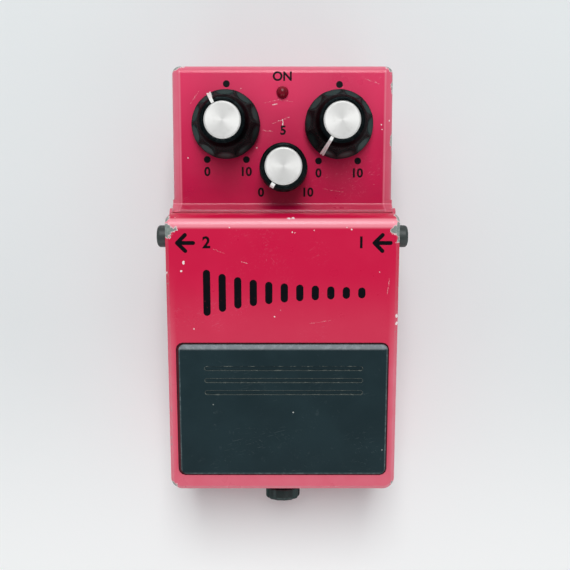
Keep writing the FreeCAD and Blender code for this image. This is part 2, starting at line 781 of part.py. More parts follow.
def make_check_lamp():
    """Small lamp with a domed lens, standing just proud of the panel."""
    dome = [(1.73, 0.3), (1.4, 1.15), (0.75, 1.7), (0.15, 1.8)]
    lamp = many_sided([(1.73, -4.5)] + dome, 16)
    return on_panel(lamp, *LAMP)


# Treadle

def crest_centre():
    along = math.sqrt((NOSE_R - CREST_R) ** 2 - (TREADLE_ABOVE_HINGE - CREST_R) ** 2)
    above = polar(HINGE, TREADLE_ABOVE_HINGE - CREST_R, 90 + TREADLE_SLOPE)
    return polar(above, along, TREADLE_SLOPE)


def nose_start_deg():
    centre = crest_centre()
    return math.degrees(math.atan2(centre[1] - HINGE_Z, centre[0] - HINGE_Y))


def skirt_z(y):
    """Height of the treadle's lower edge."""
    return line_z(SKIRT_SLOPE, skirt_tangent(NOSE_R, SKIRT_SLOPE), y)


def treadle_outside():
    """Shell's outer form, its rim chamfered all round but for the skirt's lower edge."""
    pieces = [
        (TREADLE_FRONT_Y, skirt_z(TREADLE_FRONT_Y)),
        (TREADLE_FRONT_Y, treadle_plane_z(TREADLE_FRONT_Y)),
        (crest_centre(), CREST_R, 90 + TREADLE_SLOPE, nose_start_deg()),
        (HINGE, NOSE_R, nose_start_deg(), -90 + SKIRT_SLOPE),
    ]
    plan = plan_prism(
        [(-TREADLE_HALF_WIDTH, TREADLE_FRONT_Y), (TREADLE_HALF_WIDTH, TREADLE_FRONT_Y),
         (TREADLE_HALF_WIDTH, 30), (-TREADLE_HALF_WIDTH, 30)],
        [TREADLE_CORNER_R, TREADLE_CORNER_R, 0, 0], 0, 60)
    sharp = side_solid(pieces, -40, 40).common(plan)
    front, rear = TREADLE_FRONT_Y - 1, HINGE_Y - 3
    strip = [(front, 0), (rear, 0), (rear, skirt_z(rear) + 2.5), (front, skirt_z(front) + 2.5)]
    skirt = sharp.common(side_prism(strip, [0] * 4, -40, 40))
    return sharp.makeChamfer(TREADLE_EDGE, outer_edges(sharp)).fuse(skirt)


def outer_edges(body):
    """The edges round the treadle's two sides and its top front edge."""
    chosen = []
    for edge in body.Edges:
        box = edge.BoundBox
        upright = box.ZLength > 5 and box.YLength < 0.5
        across = abs(edge.CenterOfMass.x) < 1.0 and (box.YMax > TREADLE_FRONT_Y + 1 or box.ZMax < 30)
        if not (upright or across):
            chosen.append(edge)
    return chosen


def treadle_inside():
    wall = TREADLE_WALL
    front = TREADLE_FRONT_Y + wall - 0.1
    nose_inner = NOSE_R - wall
    end = polar(HINGE, nose_inner, NOSE_END_DEG)
    pieces = [
        (front, -5),
        (front, treadle_under_z(front)),
        (crest_centre(), CREST_R - wall, 90 + TREADLE_SLOPE, nose_start_deg()),
        (HINGE, nose_inner, nose_start_deg(), NOSE_END_DEG),
        (HINGE_Y + 12, end[1]),
        (HINGE_Y + 12, -5),
    ]
    body = side_solid(pieces, -TREADLE_INNER_HALF_WIDTH, TREADLE_INNER_HALF_WIDTH)
    return body.common(clipped_plan(TREADLE_INNER_HALF_WIDTH, front, 40, 1.4, -10, 60))


def pad_slab(grow, levels, corner_r):
    """Slab parallel to the tread, from (inset, height over the tread plane) pairs."""
    middle_y = (PAD_REAR_Y + PAD_FRONT_Y) / 2
    half_length = (PAD_REAR_Y - PAD_FRONT_Y) / 2 / math.cos(math.radians(TREADLE_SLOPE)) + grow
    half_width = PAD_HALF_WIDTH + grow
    rings = []
    for inset, height in levels:
        half, reach = half_width - inset, half_length - inset
        rings.append(slab_ring(half, half, -reach, reach, corner_r, height))
    slab = skinned(rings, True)
    slab.rotate(vec(0, 0, 0), vec(1, 0, 0), TREADLE_SLOPE)
    slab.translate(vec(0, middle_y, treadle_plane_z(middle_y)))
    return slab


def tongue():
    """Round-ended tongue below the front lip, bored for the thumbscrew."""
    y = TREADLE_FRONT_Y
    thickness = TREADLE_WALL - 0.1
    upper = block(-TONGUE_R, TONGUE_R, y, y + thickness, SCREW_Z, 30)
    lower = rod((0, y, SCREW_Z), (0, 1, 0), TONGUE_R, thickness)
    return upper.fuse(lower)


def make_treadle():
    body = treadle_outside().cut(treadle_inside()).fuse(tongue())
    seat_z = 38.0
    seat = rod((SWITCH_X, SPRING_Y, seat_z), (0, 0, 1), 6.2, 3.0, 12)
    spigot = rod((SWITCH_X, SPRING_Y, seat_z - 2.2), (0, 0, 1), 3.7, 4.0, 12)
    boss_h = treadle_under_z(SWITCH_Y) - STRIKER_TOP_Z + 0.8
    striker_boss = rod((SWITCH_X, SWITCH_Y, STRIKER_TOP_Z), (0, 0, 1), 3.6, boss_h, 12)
    space = rib_space()
    ribs = [block(x - 0.7, x + 0.7, RIB_FRONT_Y, RIB_REAR_Y, 0, 60).common(space) for x in (-22.0, 0.0, 25.0)]
    body = body.fuse([seat, spigot, striker_boss] + ribs)
    cuts = [pad_slab(0, [(0, -PAD_RECESS), (0, 5)], PAD_CORNER_R)]
    for s in (-1, 1):
        cuts.append(rod((s * 30, HINGE_Y, HINGE_Z), (s, 0, 0), PIN_HOLE_R, 6))
    cuts.append(rod((0, TREADLE_FRONT_Y - 1, SCREW_Z), (0, 1, 0), SCREW_HOLE_R, 5, 16))
    return body.cut(cuts).removeSplitter()


def rib_space():
    """Thin wedge below the tread where the stiffening ribs may be."""
    deepest_y = RIB_REAR_Y - 8
    drops = ((RIB_FRONT_Y, -0.5), (RIB_REAR_Y, -0.5), (RIB_REAR_Y, 0.6), (deepest_y, 1.2), (RIB_FRONT_Y, 0.6))
    outline = [(y, treadle_under_z(y) - drop) for y, drop in drops]
    return side_prism(outline, [0] * 5, -40, 40)


STRIKER_TOP_Z = 33.6
STRIKER_BOTTOM_Z = 32.2


def make_treadle_striker():
    """Hard pad under the tread that meets the switch plunger."""
    thickness = STRIKER_TOP_Z - STRIKER_BOTTOM_Z
    pad = many_sided([(2.9, 0), (3.3, 0.4), (3.3, thickness)], 16)
    return on_axis(pad, (SWITCH_X, SWITCH_Y, STRIKER_BOTTOM_Z), (0, 0, 1))


def make_treadle_pad():
    """Rubber tread pad with bevelled upper edges."""
    levels = [(0, TOUCH - PAD_RECESS), (0, PAD_PROUD - 0.4), (0.4, PAD_PROUD)]
    return pad_slab(-PAD_GAP, levels, PAD_CORNER_R - PAD_GAP)


def make_hinge_bushes():
    bushes = []
    for s in (-1, 1):
        sleeve = rod((s * 26.5, HINGE_Y, HINGE_Z), (s, 0, 0), BUSH_R, 4.5, 12)
        flange = rod((s * UPPER_HALF_WIDTH, HINGE_Y, HINGE_Z), (s, 0, 0), EAR_R, 0.6, 12)
        hole = rod((s * 26, HINGE_Y, HINGE_Z), (s, 0, 0), PIN_HOLE_R + 0.06, 7, 12)
        bushes.append(sleeve.fuse(flange).cut(hole))
    return grouped(bushes)


def make_hinge_pins():
    length = TREADLE_HALF_WIDTH + TOUCH - 26.5
    return grouped([rod((s * 26.5, HINGE_Y, HINGE_Z), (s, 0, 0), PIN_R, length) for s in (-1, 1)])


def make_hinge_caps():
    """Round caps on the pins' outer ends, their outer edge rounded over."""
    face_x = TREADLE_HALF_WIDTH + TOUCH
    height = CAP_OUT_X - face_x
    profile = [(CAP_R, 0), (CAP_R, height - 1.0), (CAP_R - 0.3, height - 0.3), (CAP_R - 1.0, height)]
    cap = many_sided(profile, 20)
    return grouped([on_axis(cap, (s * face_x, HINGE_Y, HINGE_Z), (s, 0, 0)) for s in (-1, 1)])


def make_treadle_bumpers():
    """Two rubber strips on the front edge of the deck that stop the treadle."""
    top_z = treadle_plane_z(-53.6, TREADLE_ABOVE_HINGE - TREADLE_WALL, RIM_SLOPE) - 0.45
    strips = [block(x - 6, x + 6, -53.6, -51.8, DECK_Z, top_z) for x in (-18.0, 18.0)]
    return grouped(strips)


# Return spring, guide bush and foot switch

SPRING_LOW_Z = DECK_Z + TOUCH
SPRING_HIGH_Z = 38.0 - TOUCH


def make_return_spring():
    """Coil spring: a five-sided wire section carried up a helix in short steps."""
    height = SPRING_HIGH_Z - SPRING_LOW_Z - 2 * SPRING_WIRE_R
    per_turn = 10
    steps = int(SPRING_TURNS * per_turn)
    rings = []
    line = []
    for step in range(steps + 1):
        turn = 360 / per_turn * step
        rise = SPRING_LOW_Z + SPRING_WIRE_R + height * step / steps
        line.append((*polar((SWITCH_X, SPRING_Y), SPRING_MEAN_R, turn), rise))
        ring_points = []
        for corner in range(5):
            across, up = polar((SPRING_MEAN_R, rise), SPRING_WIRE_R, 72 * corner)
            ring_points.append(vec(*polar((SWITCH_X, SPRING_Y), across, turn), up))
        rings.append(ring_points)
    gap = min(math.dist(a, b) for a, b in zip(line, line[per_turn:])) - 2 * SPRING_WIRE_R
    print("least gap between the spring's turns:", round(gap, 2), "mm")
    return skinned(rings, False)


def make_guide_bush():
    """Slotted bush in the front wall that the thumbscrew's tip enters."""
    front = CHANNEL_FLOOR_Y - 0.2
    body = bush_outline(4.2, 12.3, 22.9, 0, front).extrude(vec(0, 3.2, 0))
    slot = bush_outline(2.2, 13.7, 21.3, 2.15, front - 1).extrude(vec(0, 3.9, 0))
    return body.cut(slot)


SEAT_Y = TREADLE_FRONT_Y - TOUCH
SCREW_OUT = SCREW_PITCH * SCREW_TURNS_OUT
WASHER_THICKNESS = 0.8


def make_thumb_washer():
    front = (0, SEAT_Y - SCREW_OUT - WASHER_THICKNESS, SCREW_Z)
    return ring(front, (0, 1, 0), 4.0, SCREW_R + 0.1, WASHER_THICKNESS, 16)


def make_thumb_knob():
    """Moulded knob with a ribbed rim and a domed outer end."""
    rear_y = SEAT_Y - SCREW_OUT - WASHER_THICKNESS - TOUCH
    length = rear_y - FRONT_END_Y
    ribs = 13
    rings = []
    for inset, height in ((0, 0), (0, length - 1.6), (0.6, length - 0.5), (1.4, length)):
        points = []
        for index in range(4 * ribs):
            radius = SCREW_KNOB_R - inset - (0.4 if index % 4 > 1 else 0)
            points.append(vec(*polar((0, 0), radius, 360 / (4 * ribs) * index), height))
        rings.append(points)
    body = skinned(rings, False)
    body = body.cut(rod((0, 0, -1), (0, 0, 1), SCREW_R + 0.05, length - 0.5, 16))
    return on_axis(body, (0, rear_y, SCREW_Z), (0, -1, 0))


def make_thumb_screw():
    """Steel shank moulded into the knob, with a plain tip."""
    rear_y = SEAT_Y - SCREW_OUT - WASHER_THICKNESS - TOUCH
    length = rear_y - FRONT_END_Y
    start = rear_y - (length - 1.5)
    end = CHANNEL_FLOOR_Y - 0.5
    return rod((0, start, SCREW_Z), (0, 1, 0), SCREW_R, end - start)


SWITCH_TOP_Z = 28.4
PLUNGER_R = 3.2
PLUNGER_TOP_Z = STRIKER_BOTTOM_Z - 0.2


def make_foot_switch():
    low = 20.4
    body = block(SWITCH_X - 6, SWITCH_X + 6, SWITCH_Y - 6, SWITCH_Y + 6, low, SWITCH_TOP_Z)
    return body.cut(rod((SWITCH_X, SWITCH_Y, low + 0.6), (0, 0, 1), PLUNGER_R + 0.1, 10, 20))


def make_switch_plunger():
    """Plunger with a domed head that stands under the striker."""
    low = 24.0
    top = PLUNGER_TOP_Z - low
    profile = [(PLUNGER_R, 0), (PLUNGER_R, top - 1.4), (PLUNGER_R - 0.4, top - 0.4), (PLUNGER_R - 1.4, top)]
    plunger = many_sided(profile, 20)
    return on_axis(plunger, (SWITCH_X, SWITCH_Y, low), (0, 0, 1))


def make_switch_gasket():
    return ring((SWITCH_X, SWITCH_Y, SWITCH_TOP_Z), (0, 0, 1), 5.4, PLUNGER_R + 0.15, 0.7, 16)


def make_switch_board():
    return block(SWITCH_X - 8, SWITCH_X + 10, SWITCH_Y - 7, SWITCH_Y + 7, 18.8, 20.4)


# Sockets

def jack_shape():
    """Socket built for the +X side: moulded body, threaded sleeve, through bore."""
    body = block(JACK_INNER_X, 30.7, JACK_Y - 6.4, JACK_Y + 6.4, JACK_Z - 6.0, JACK_Z + 6.0)
    sleeve = rod((30.5, JACK_Y, JACK_Z), (1, 0, 0), JACK_SLEEVE_R, JACK_OUT_X - 30.5, 16)
    return body.fuse(sleeve).cut(rod((0, JACK_Y, JACK_Z), (1, 0, 0), JACK_BORE_R, 40))


def make_jack_washers():
    start = LOWER_HALF_WIDTH + 0.02
    washer = ring((start, JACK_Y, JACK_Z), (1, 0, 0), 6.6, JACK_SLEEVE_R + 0.05, 0.6, 16)
    return grouped([washer, mirrored(washer)])


def make_jack_nuts():
    start = LOWER_HALF_WIDTH + 0.62
    nut = on_axis(hexagon(12.0, JACK_SLEEVE_R + 0.05, 1.9, 16), (start, JACK_Y, JACK_Z), (1, 0, 0))
    return grouped([nut, mirrored(nut)])


def make_jack_contacts():
    """Leaf contacts on the inner ends of the sockets, clear of the bore."""
    leaves = []
    front, rear = JACK_Y - 2.0, JACK_Y + 2.0
    for z, low, high in ((JACK_Z + 3.6, 0, 1.8), (JACK_Z - 4.0, -1.6, 0.4)):
        leaf = block(JACK_INNER_X - 5.0, JACK_INNER_X, front, rear, z, z + 0.4)
        tab = block(JACK_INNER_X - 0.4, JACK_INNER_X, front, rear, z + low, z + high)
        leaves.append(leaf.fuse(tab))
    return grouped(leaves + [mirrored(leaf) for leaf in leaves])


def make_power_socket():
    rear = REAR_Y - 0.5
    body = block(-7.0, 7.0, rear - 13.5, REAR_Y - WALL - 0.45, POWER_Z - 6.2, POWER_Z + 6.2)
    collar = rod((0, REAR_Y - WALL - 1.0, POWER_Z), (0, 1, 0), 5.5, rear - (REAR_Y - WALL - 1.0), 20)
    return body.fuse(collar).cut(rod((0, rear - 10.0, POWER_Z), (0, 1, 0), POWER_BORE_R, 12))


def make_power_pin():
    rear = REAR_Y - 0.5
    return rod((0, rear - 10.0, POWER_Z), (0, 1, 0), POWER_PIN_R, 9.2)


# Battery

def battery_box():
    width, length, height = BATTERY_SIZE
    x0 = WELL_X[0] + (WELL_X[1] - WELL_X[0] - width) / 2
    y0 = WELL_Y[0] + 0.5
    return x0, x0 + width, y0, y0 + length, WELL_FLOOR_Z + 0.8, WELL_FLOOR_Z + 0.8 + height


def make_battery():
    x0, x1, y0, y1, z0, z1 = battery_box()
    can = block(x0, x1, y0, y1, z0, z1)
    can = can.makeChamfer(1.2, [e for e in can.Edges if abs(e.Vertexes[0].Y - e.Vertexes[-1].Y) > 20])
    middle_z = (z0 + z1) / 2
    studs = []
    for offset, radius in ((-6.35, 3.2), (6.35, 2.7)):
        studs.append(rod(((x0 + x1) / 2 + offset, y1 - 0.5, middle_z), (0, 1, 0), radius, 3.0, 12))
    return can.fuse(studs)


def make_battery_snap():
    """Moulded cap that grips both studs of the battery."""
    x0, x1, _, y1, z0, z1 = battery_box()
    middle_x, middle_z = (x0 + x1) / 2, (z0 + z1) / 2
    cap = block(middle_x - 12.6, middle_x + 12.6, y1 + TOUCH, y1 + 4.4, middle_z - 6.2, middle_z + 6.2)
    cap = cap.makeChamfer(3.0, [e for e in cap.Edges if abs(e.Vertexes[0].Y - e.Vertexes[-1].Y) > 3])
    holes = []
    for offset, radius in ((-6.35, 3.3), (6.35, 2.8)):
        holes.append(rod((middle_x + offset, y1 - 1, middle_z), (0, 1, 0), radius, 3.6, 12))
    return cap.cut(holes)


def make_battery_foam():
    x0, x1, y0, y1, _, _ = battery_box()
    return block(x0 + 2, x1 - 2, y0 + 2, y1 - 2, WELL_FLOOR_Z, WELL_FLOOR_Z + 0.75)


NODES = {
    "case_shell": make_case_shell(),
    "rubber_base": make_rubber_base(),
    "base_plate": make_base_plate(),
    "base_screws": make_base_screws(),
    "board_screws": make_board_screws(),
    "insulating_sheet": make_insulating_sheet(),
    "main_board": make_main_board(),
    "board_chips": make_board_chips(),
    "board_capacitors": make_board_capacitors(),
    "trim_pots": make_trim_pots(),
    "pot_board": make_pot_board(),
    "left_pot": make_potentiometer(LEFT_DIAL),
    "right_pot": make_potentiometer(RIGHT_DIAL),
    "centre_pot": make_potentiometer(CENTRE_DIAL),
    "pot_nuts": make_pot_nuts(),
    "pot_washers": make_pot_washers(),
    "left_shaft": make_shaft(LEFT_DIAL, LARGE_KNOB_H),
    "right_shaft": make_shaft(RIGHT_DIAL, LARGE_KNOB_H),
    "centre_shaft": make_shaft(CENTRE_DIAL, SMALL_KNOB_H),
    "left_knob": make_large_knob(LEFT_DIAL),
    "right_knob": make_large_knob(RIGHT_DIAL),
    "centre_knob": make_small_knob(CENTRE_DIAL),
    "left_pointer": make_large_pointer(LEFT_DIAL),
    "right_pointer": make_large_pointer(RIGHT_DIAL),
    "centre_pointer": make_small_pointer(CENTRE_DIAL),
    "left_cap": make_large_cap(LEFT_DIAL),
    "right_cap": make_large_cap(RIGHT_DIAL),
    "centre_cap": make_small_cap(CENTRE_DIAL),
    "check_lamp": make_check_lamp(),
    "treadle": make_treadle(),
    "treadle_pad": make_treadle_pad(),
    "treadle_striker": make_treadle_striker(),
    "treadle_bumpers": make_treadle_bumpers(),
    "hinge_bushes": make_hinge_bushes(),
    "hinge_pins": make_hinge_pins(),
    "hinge_caps": make_hinge_caps(),
    "return_spring": make_return_spring(),
    "guide_bush": make_guide_bush(),
    "thumb_washer": make_thumb_washer(),
    "thumb_knob": make_thumb_knob(),
    "thumb_screw": make_thumb_screw(),
    "foot_switch": make_foot_switch(),
    "switch_plunger": make_switch_plunger(),
    "switch_gasket": make_switch_gasket(),
    "switch_board": make_switch_board(),
    "input_jack": jack_shape(),
    "output_jack": mirrored(jack_shape()),
    "jack_washers": make_jack_washers(),
    "jack_nuts": make_jack_nuts(),
    "jack_contacts": make_jack_contacts(),
    "power_socket": make_power_socket(),
    "power_pin": make_power_pin(),
    "battery": make_battery(),
    "battery_snap": make_battery_snap(),
    "battery_foam": make_battery_foam(),
}

for node, shape in NODES.items():
    shape.exportStep("parts/" + node + ".step")
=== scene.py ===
import json
import math

import bmesh
import bpy
from mathutils import Matrix, Vector


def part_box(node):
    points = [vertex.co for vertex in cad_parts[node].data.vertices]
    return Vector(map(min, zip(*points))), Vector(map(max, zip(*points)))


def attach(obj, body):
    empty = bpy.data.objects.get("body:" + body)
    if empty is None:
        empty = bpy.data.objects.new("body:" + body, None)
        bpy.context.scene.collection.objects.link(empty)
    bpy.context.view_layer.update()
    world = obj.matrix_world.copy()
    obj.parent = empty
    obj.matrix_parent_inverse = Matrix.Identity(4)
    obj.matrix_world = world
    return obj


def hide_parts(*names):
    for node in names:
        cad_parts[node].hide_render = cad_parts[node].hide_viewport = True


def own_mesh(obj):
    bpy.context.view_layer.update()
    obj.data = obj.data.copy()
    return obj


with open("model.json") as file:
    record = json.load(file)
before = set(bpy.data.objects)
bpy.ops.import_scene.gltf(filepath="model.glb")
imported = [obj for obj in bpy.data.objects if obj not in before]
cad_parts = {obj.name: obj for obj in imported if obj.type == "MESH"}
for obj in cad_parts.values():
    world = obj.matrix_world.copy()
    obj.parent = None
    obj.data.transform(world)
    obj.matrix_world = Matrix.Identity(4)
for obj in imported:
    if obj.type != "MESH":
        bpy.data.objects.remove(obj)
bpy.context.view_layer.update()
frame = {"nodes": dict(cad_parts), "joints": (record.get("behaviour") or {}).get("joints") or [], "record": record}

NODES = frame["nodes"]
JOINTS = {joint["name"]: joint for joint in frame["joints"]}
BODY_OF = {}
for body_name, members in frame["record"]["behaviour"]["bodies"].items():
    for member in members:
        BODY_OF[member] = body_name
SLOT_OF = {part["node"]: part["material_slot"] for part in frame["record"]["subparts"]}

# Sizes and places are in millimetres, angles in degrees
MM = 0.001


def box_mm(node):
    """Lowest and highest corner of a CAD node."""
    return [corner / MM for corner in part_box(node)]


# Camera, almost straight above the pedal
FOCAL_PX = 700.09
IMAGE_PX = 570
CAMERA_AT = (0.75, -4.37, 248.5)
CAMERA_TILT = 1.715

# Main planes and edges
HINGE_Y, HINGE_Z = [value / MM for value in JOINTS["treadle_open"]["pos_m"][1:]]
PANEL_REAR_Y = box_mm("case_shell")[1].y
PANEL_REAR_Z = 46.48
PANEL_SLOPE = 8.87
CONTROL_HALF_WIDTH = 32.5
TREADLE_HALF_WIDTH = box_mm("treadle")[1].x
TREADLE_SLOPE = 10.29
TREADLE_ABOVE_HINGE = 5.13
PRESS_ANGLE = 2.2
PAD_REAR_Y = -15.1
PAD_FRONT_Y = -55.3
PAD_HALF_WIDTH = 30.75
PAD_SHIFT = 0.2
SCREW_Z = 19.0


# Colours

def srgb(red, green, blue):
    """Linear colour of a display colour given in 0 to 255."""
    linear = []
    for value in (red, green, blue):
        value /= 255
        linear.append(value / 12.92 if value <= 0.04045 else ((value + 0.055) / 1.055) ** 2.4)
    return (*linear, 1.0)


def shaded(colour, factor, lift=0.0):
    """A colour made darker or paler by a factor, with a little added."""
    return tuple(channel * factor + lift for channel in colour[:3]) + (1.0,)


COOL_WHITE = (0.97, 0.985, 1.0, 1.0)


# Node trees

class Number:
    """A number that a node works out at each point, for use in plain sums."""

    def __init__(self, graph, socket):
        self.graph = graph
        self.socket = socket

    def __add__(self, other):
        return self.graph.calc("ADD", self, other)

    def __sub__(self, other):
        return self.graph.calc("SUBTRACT", self, other)

    def __rsub__(self, other):
        return self.graph.calc("SUBTRACT", other, self)

    def __mul__(self, other):
        return self.graph.calc("MULTIPLY", self, other)

    def __pow__(self, other):
        return self.graph.calc("POWER", self, other)

    def __abs__(self):
        return self.graph.calc("ABSOLUTE", self)

    def step(self, low, high):
        """Smooth step from 0 at low to 1 at high."""
        feeds = {"Value": self, "From Min": low, "From Max": high}
        return self.graph.number("ShaderNodeMapRange", 0, feeds, interpolation_type="SMOOTHSTEP")

    def between(self, first, second):
        """Number between two numbers, by this share."""
        return self.graph.number("ShaderNodeMapRange", 0, {"Value": self, "To Min": first, "To Max": second})


class Graph:
    """Short ways to add shader nodes to a tree."""

    def __init__(self, tree):
        self.tree = tree

    def add(self, kind, feeds=None, **settings):
        node = self.tree.nodes.new(kind)
        for key, value in settings.items():
            setattr(node, key, value)
        for key, value in (feeds or {}).items():
            self.feed(node.inputs[key], value)
        return node

    def number(self, kind, output, feeds=None, **settings):
        return Number(self, self.add(kind, feeds, **settings).outputs[output])

    def feed(self, socket, value):
        if isinstance(value, Number):
            value = value.socket
        if isinstance(value, bpy.types.NodeSocket):
            self.tree.links.new(value, socket)
        else:
            socket.default_value = value

    def vector(self, operation, first, second):
        return self.add("ShaderNodeVectorMath", {0: first, 1: second}, operation=operation).outputs["Vector"]

    def distance(self, first, second):
        return self.number("ShaderNodeVectorMath", "Value", {0: first, 1: second}, operation="DISTANCE")

    def dot(self, first, second):
        return self.number("ShaderNodeVectorMath", "Value", {0: first, 1: second}, operation="DOT_PRODUCT")

    def calc(self, operation, first, second=0.5):
        return self.number("ShaderNodeMath", 0, {0: first, 1: second}, operation=operation)

    def most(self, first, *others):
        """The largest of several numbers at each point."""
        for other in others:
            first = self.calc("MAXIMUM", first, other)
        return first

    def mix(self, share, first, second):
        node = self.add("ShaderNodeMix", data_type="RGBA")
        # An RGBA mix keeps its factor at 0 and its colours at 6 and 7
        for index, value in ((0, share), (6, first), (7, second)):
            self.feed(node.inputs[index], value)
        return node.outputs[2]


class Finish(Graph):
    """One material's node tree, fed by the piece's own coordinates in millimetres."""

    def __init__(self, name, **constants):
        self.material = bpy.data.materials.new(name)
        self.material.use_nodes = True
        super().__init__(self.material.node_tree)
        self.shader = self.tree.nodes["Principled BSDF"]
        for socket, value in constants.items():
            self.shader.inputs[socket.replace("_", " ")].default_value = value
        place = self.add("ShaderNodeTexCoord").outputs["Object"]
        self.mm = self.vector("MULTIPLY", place, (1 / MM, 1 / MM, 1 / MM))

    def axis(self, letter):
        return self.number("ShaderNodeSeparateXYZ", letter, {0: self.mm})

    def ragged(self, size, reach):
        """Coordinates pushed about by noise, for outlines that aren't smooth."""
        feeds = {"Vector": self.mm, "Scale": 1 / size, "Detail": 4.0, "Roughness": 0.65}
        push = self.add("ShaderNodeTexNoise", feeds).outputs["Color"]
        push = self.vector("SUBTRACT", push, (0.5, 0.5, 0.5))
        return self.vector("ADD", self.mm, self.vector("MULTIPLY", push, (reach, reach, reach)))

    def noise(self, size, detail=3.0, roughness=0.5, where=None):
        """Noise whose features are about this many millimetres across."""
        feeds = {"Vector": where or self.mm, "Scale": 1 / size, "Detail": detail, "Roughness": roughness}
        return self.number("ShaderNodeTexNoise", "Fac", feeds)

    def cells(self, size):
        """Distance to the nearest of scattered points, in cell sizes."""
        return self.number("ShaderNodeTexVoronoi", "Distance", {"Vector": self.mm, "Scale": 1 / size})

    def turned(self, angle, stretch):
        """Coordinates turned about Z, then measured in these lengths along their new axes."""
        feeds = {"Vector": self.mm, "Rotation": (0, 0, math.radians(angle)), "Scale": stretch}
        return self.add("ShaderNodeMapping", feeds, vector_type="TEXTURE").outputs[0]

    def scratches(self, angle, length, width, share):
        """Mask of fine straight scratches that run at this angle."""
        feeds = {"Vector": self.turned(angle, (length, width, width)), "Scale": 1.0, "Detail": 1.0}
        return self.number("ShaderNodeTexNoise", "Fac", feeds).step(1 - share, 1 - share * 0.86)

    def fine_scratches(self):
        return self.most(self.scratches(33, 5.0, 0.10, 0.30), self.scratches(-61, 4.0, 0.09, 0.30))

    def dust(self, amount):
        return self.noise(2.2, 5.0, 0.65).step(0.48, 0.8) * amount

    def edges(self, radius):
        """How far the surface turns within this radius, in millimetres."""
        bent = self.add("ShaderNodeBevel", {"Radius": radius * MM}, samples=6).outputs[0]
        return 1.0 - self.dot(bent, self.add("ShaderNodeNewGeometry").outputs["Normal"])

    def relief(self, *layers):
        """Bumps from (height, depth in millimetres) pairs, one over the other."""
        normal = None
        for height, depth in layers:
            feeds = {"Height": height, "Distance": depth * MM, "Strength": 1.0}
            if normal:
                feeds["Normal"] = normal
            normal = self.add("ShaderNodeBump", feeds).outputs[0]
        self.feed(self.shader.inputs["Normal"], normal)

    def output(self, **sockets):
        for socket, value in sockets.items():
            self.feed(self.shader.inputs[socket.replace("_", " ")], value)
        return self.material


# Enamel with its wear

# Bare metal and small pale nicks: X, Y, Z and radius
CASE_BARE = [
    (-31.9, 66.0, 45.0, 1.7), (-30.5, 66.3, 45.4, 1.3), (31.9, 65.8, 44.8, 1.7), (32.5, 63.6, 43.8, 1.0),
    (-33.3, 20.6, 41.6, 1.1), (33.4, 22.0, 41.0, 0.9), (-33.4, -56.0, 20.0, 1.4), (33.5, 40.0, 4.4, 1.3),
    (-33.4, 58.0, 5.0, 1.2), (12.0, 66.5, 4.2, 1.2), (32.7, 61.0, 43.6, 1.15), (32.8, 59.4, 43.3, 1.25),
    (32.7, 46.0, 41.4, 1.15), (32.6, 44.4, 41.0, 1.35), (32.8, 42.9, 40.8, 0.9)]
CASE_NICKS = [
    (31.4, 50.3, 43.3, 0.34), (29.2, 49.0, 43.8, 0.26), (29.4, 47.6, 43.5, 0.18), (-7.6, 42.35, 42.7, 0.26),
    (-12.2, 59.3, 45.36, 0.16), (-28.0, 39.5, 42.3, 0.22), (-32.9, 39.5, 41.6, 0.4)]
# Scratches: start, end and width
CASE_STROKES = [
    ((0.12, 50.5, 44.0), (0.16, 48.4, 43.7), 0.30), ((-3.0, 49.3, 43.8), (2.0, 51.2, 44.1), 0.13),
    ((-5.7, 47.4, 43.5), (-3.0, 47.1, 43.5), 0.12), ((-3.0, 54.7, 44.6), (-1.5, 54.9, 44.7), 0.28),
    ((-5.3, 55.2, 44.7), (-1.2, 56.1, 44.9), 0.10), ((-1.2, 56.1, 44.9), (2.8, 55.6, 44.8), 0.10),
    ((24.0, 62.0, 45.8), (28.5, 60.6, 45.6), 0.09), ((-27.0, 55.0, 44.7), (-24.5, 58.5, 45.2), 0.09),
    ((12.0, 30.5, 40.9), (18.0, 29.6, 40.8), 0.09)]
TREADLE_BARE = [
    (-33.4, 17.2, 48.3, 2.0), (-31.4, 17.6, 49.0, 0.8), (-33.4, 20.8, 47.2, 1.2), (33.4, 17.4, 48.2, 2.0),
    (33.5, 20.6, 47.0, 1.4), (33.5, 14.6, 48.0, 0.8), (-33.2, -58.8, 34.4, 1.2), (33.3, -58.8, 34.4, 1.0)]
TREADLE_NICKS = [
    (1.9, 21.0, 49.0, 0.7), (3.0, 21.2, 48.9, 0.75), (-15.1, 18.0, 49.2, 0.24), (19.8, 17.5, 49.1, 0.22),
    (18.5, 18.0, 49.2, 0.18), (-28.5, 8.3, 47.4, 0.34), (-28.5, 7.8, 47.3, 0.3), (-29.2, 5.65, 46.9, 0.32),
    (-33.6, 5.2, 46.2, 0.4), (-25.8, -11.1, 43.9, 0.2), (-2.3, -7.5, 44.5, 0.22), (33.4, -7.3, 44.0, 0.6),
    (33.5, -9.5, 43.6, 0.6), (2.8, 16.7, 48.9, 0.18), (3.6, 16.5, 48.9, 0.16), (9.1, 17.2, 49.0, 0.16),
    (21.0, -53.9, 36.2, 0.2), (-31.0, -45.6, 37.6, 0.2)]
TREADLE_STROKES = [
    ((-11.8, 8.3, 47.4), (-9.8, 7.8, 47.3), 0.12), ((30.9, 3.5, 46.5), (30.4, -1.0, 45.7), 0.10),
    ((-20.0, 12.0, 48.1), (-16.5, 10.6, 47.9), 0.08), ((8.0, -9.5, 44.2), (14.0, -8.6, 44.3), 0.08)]


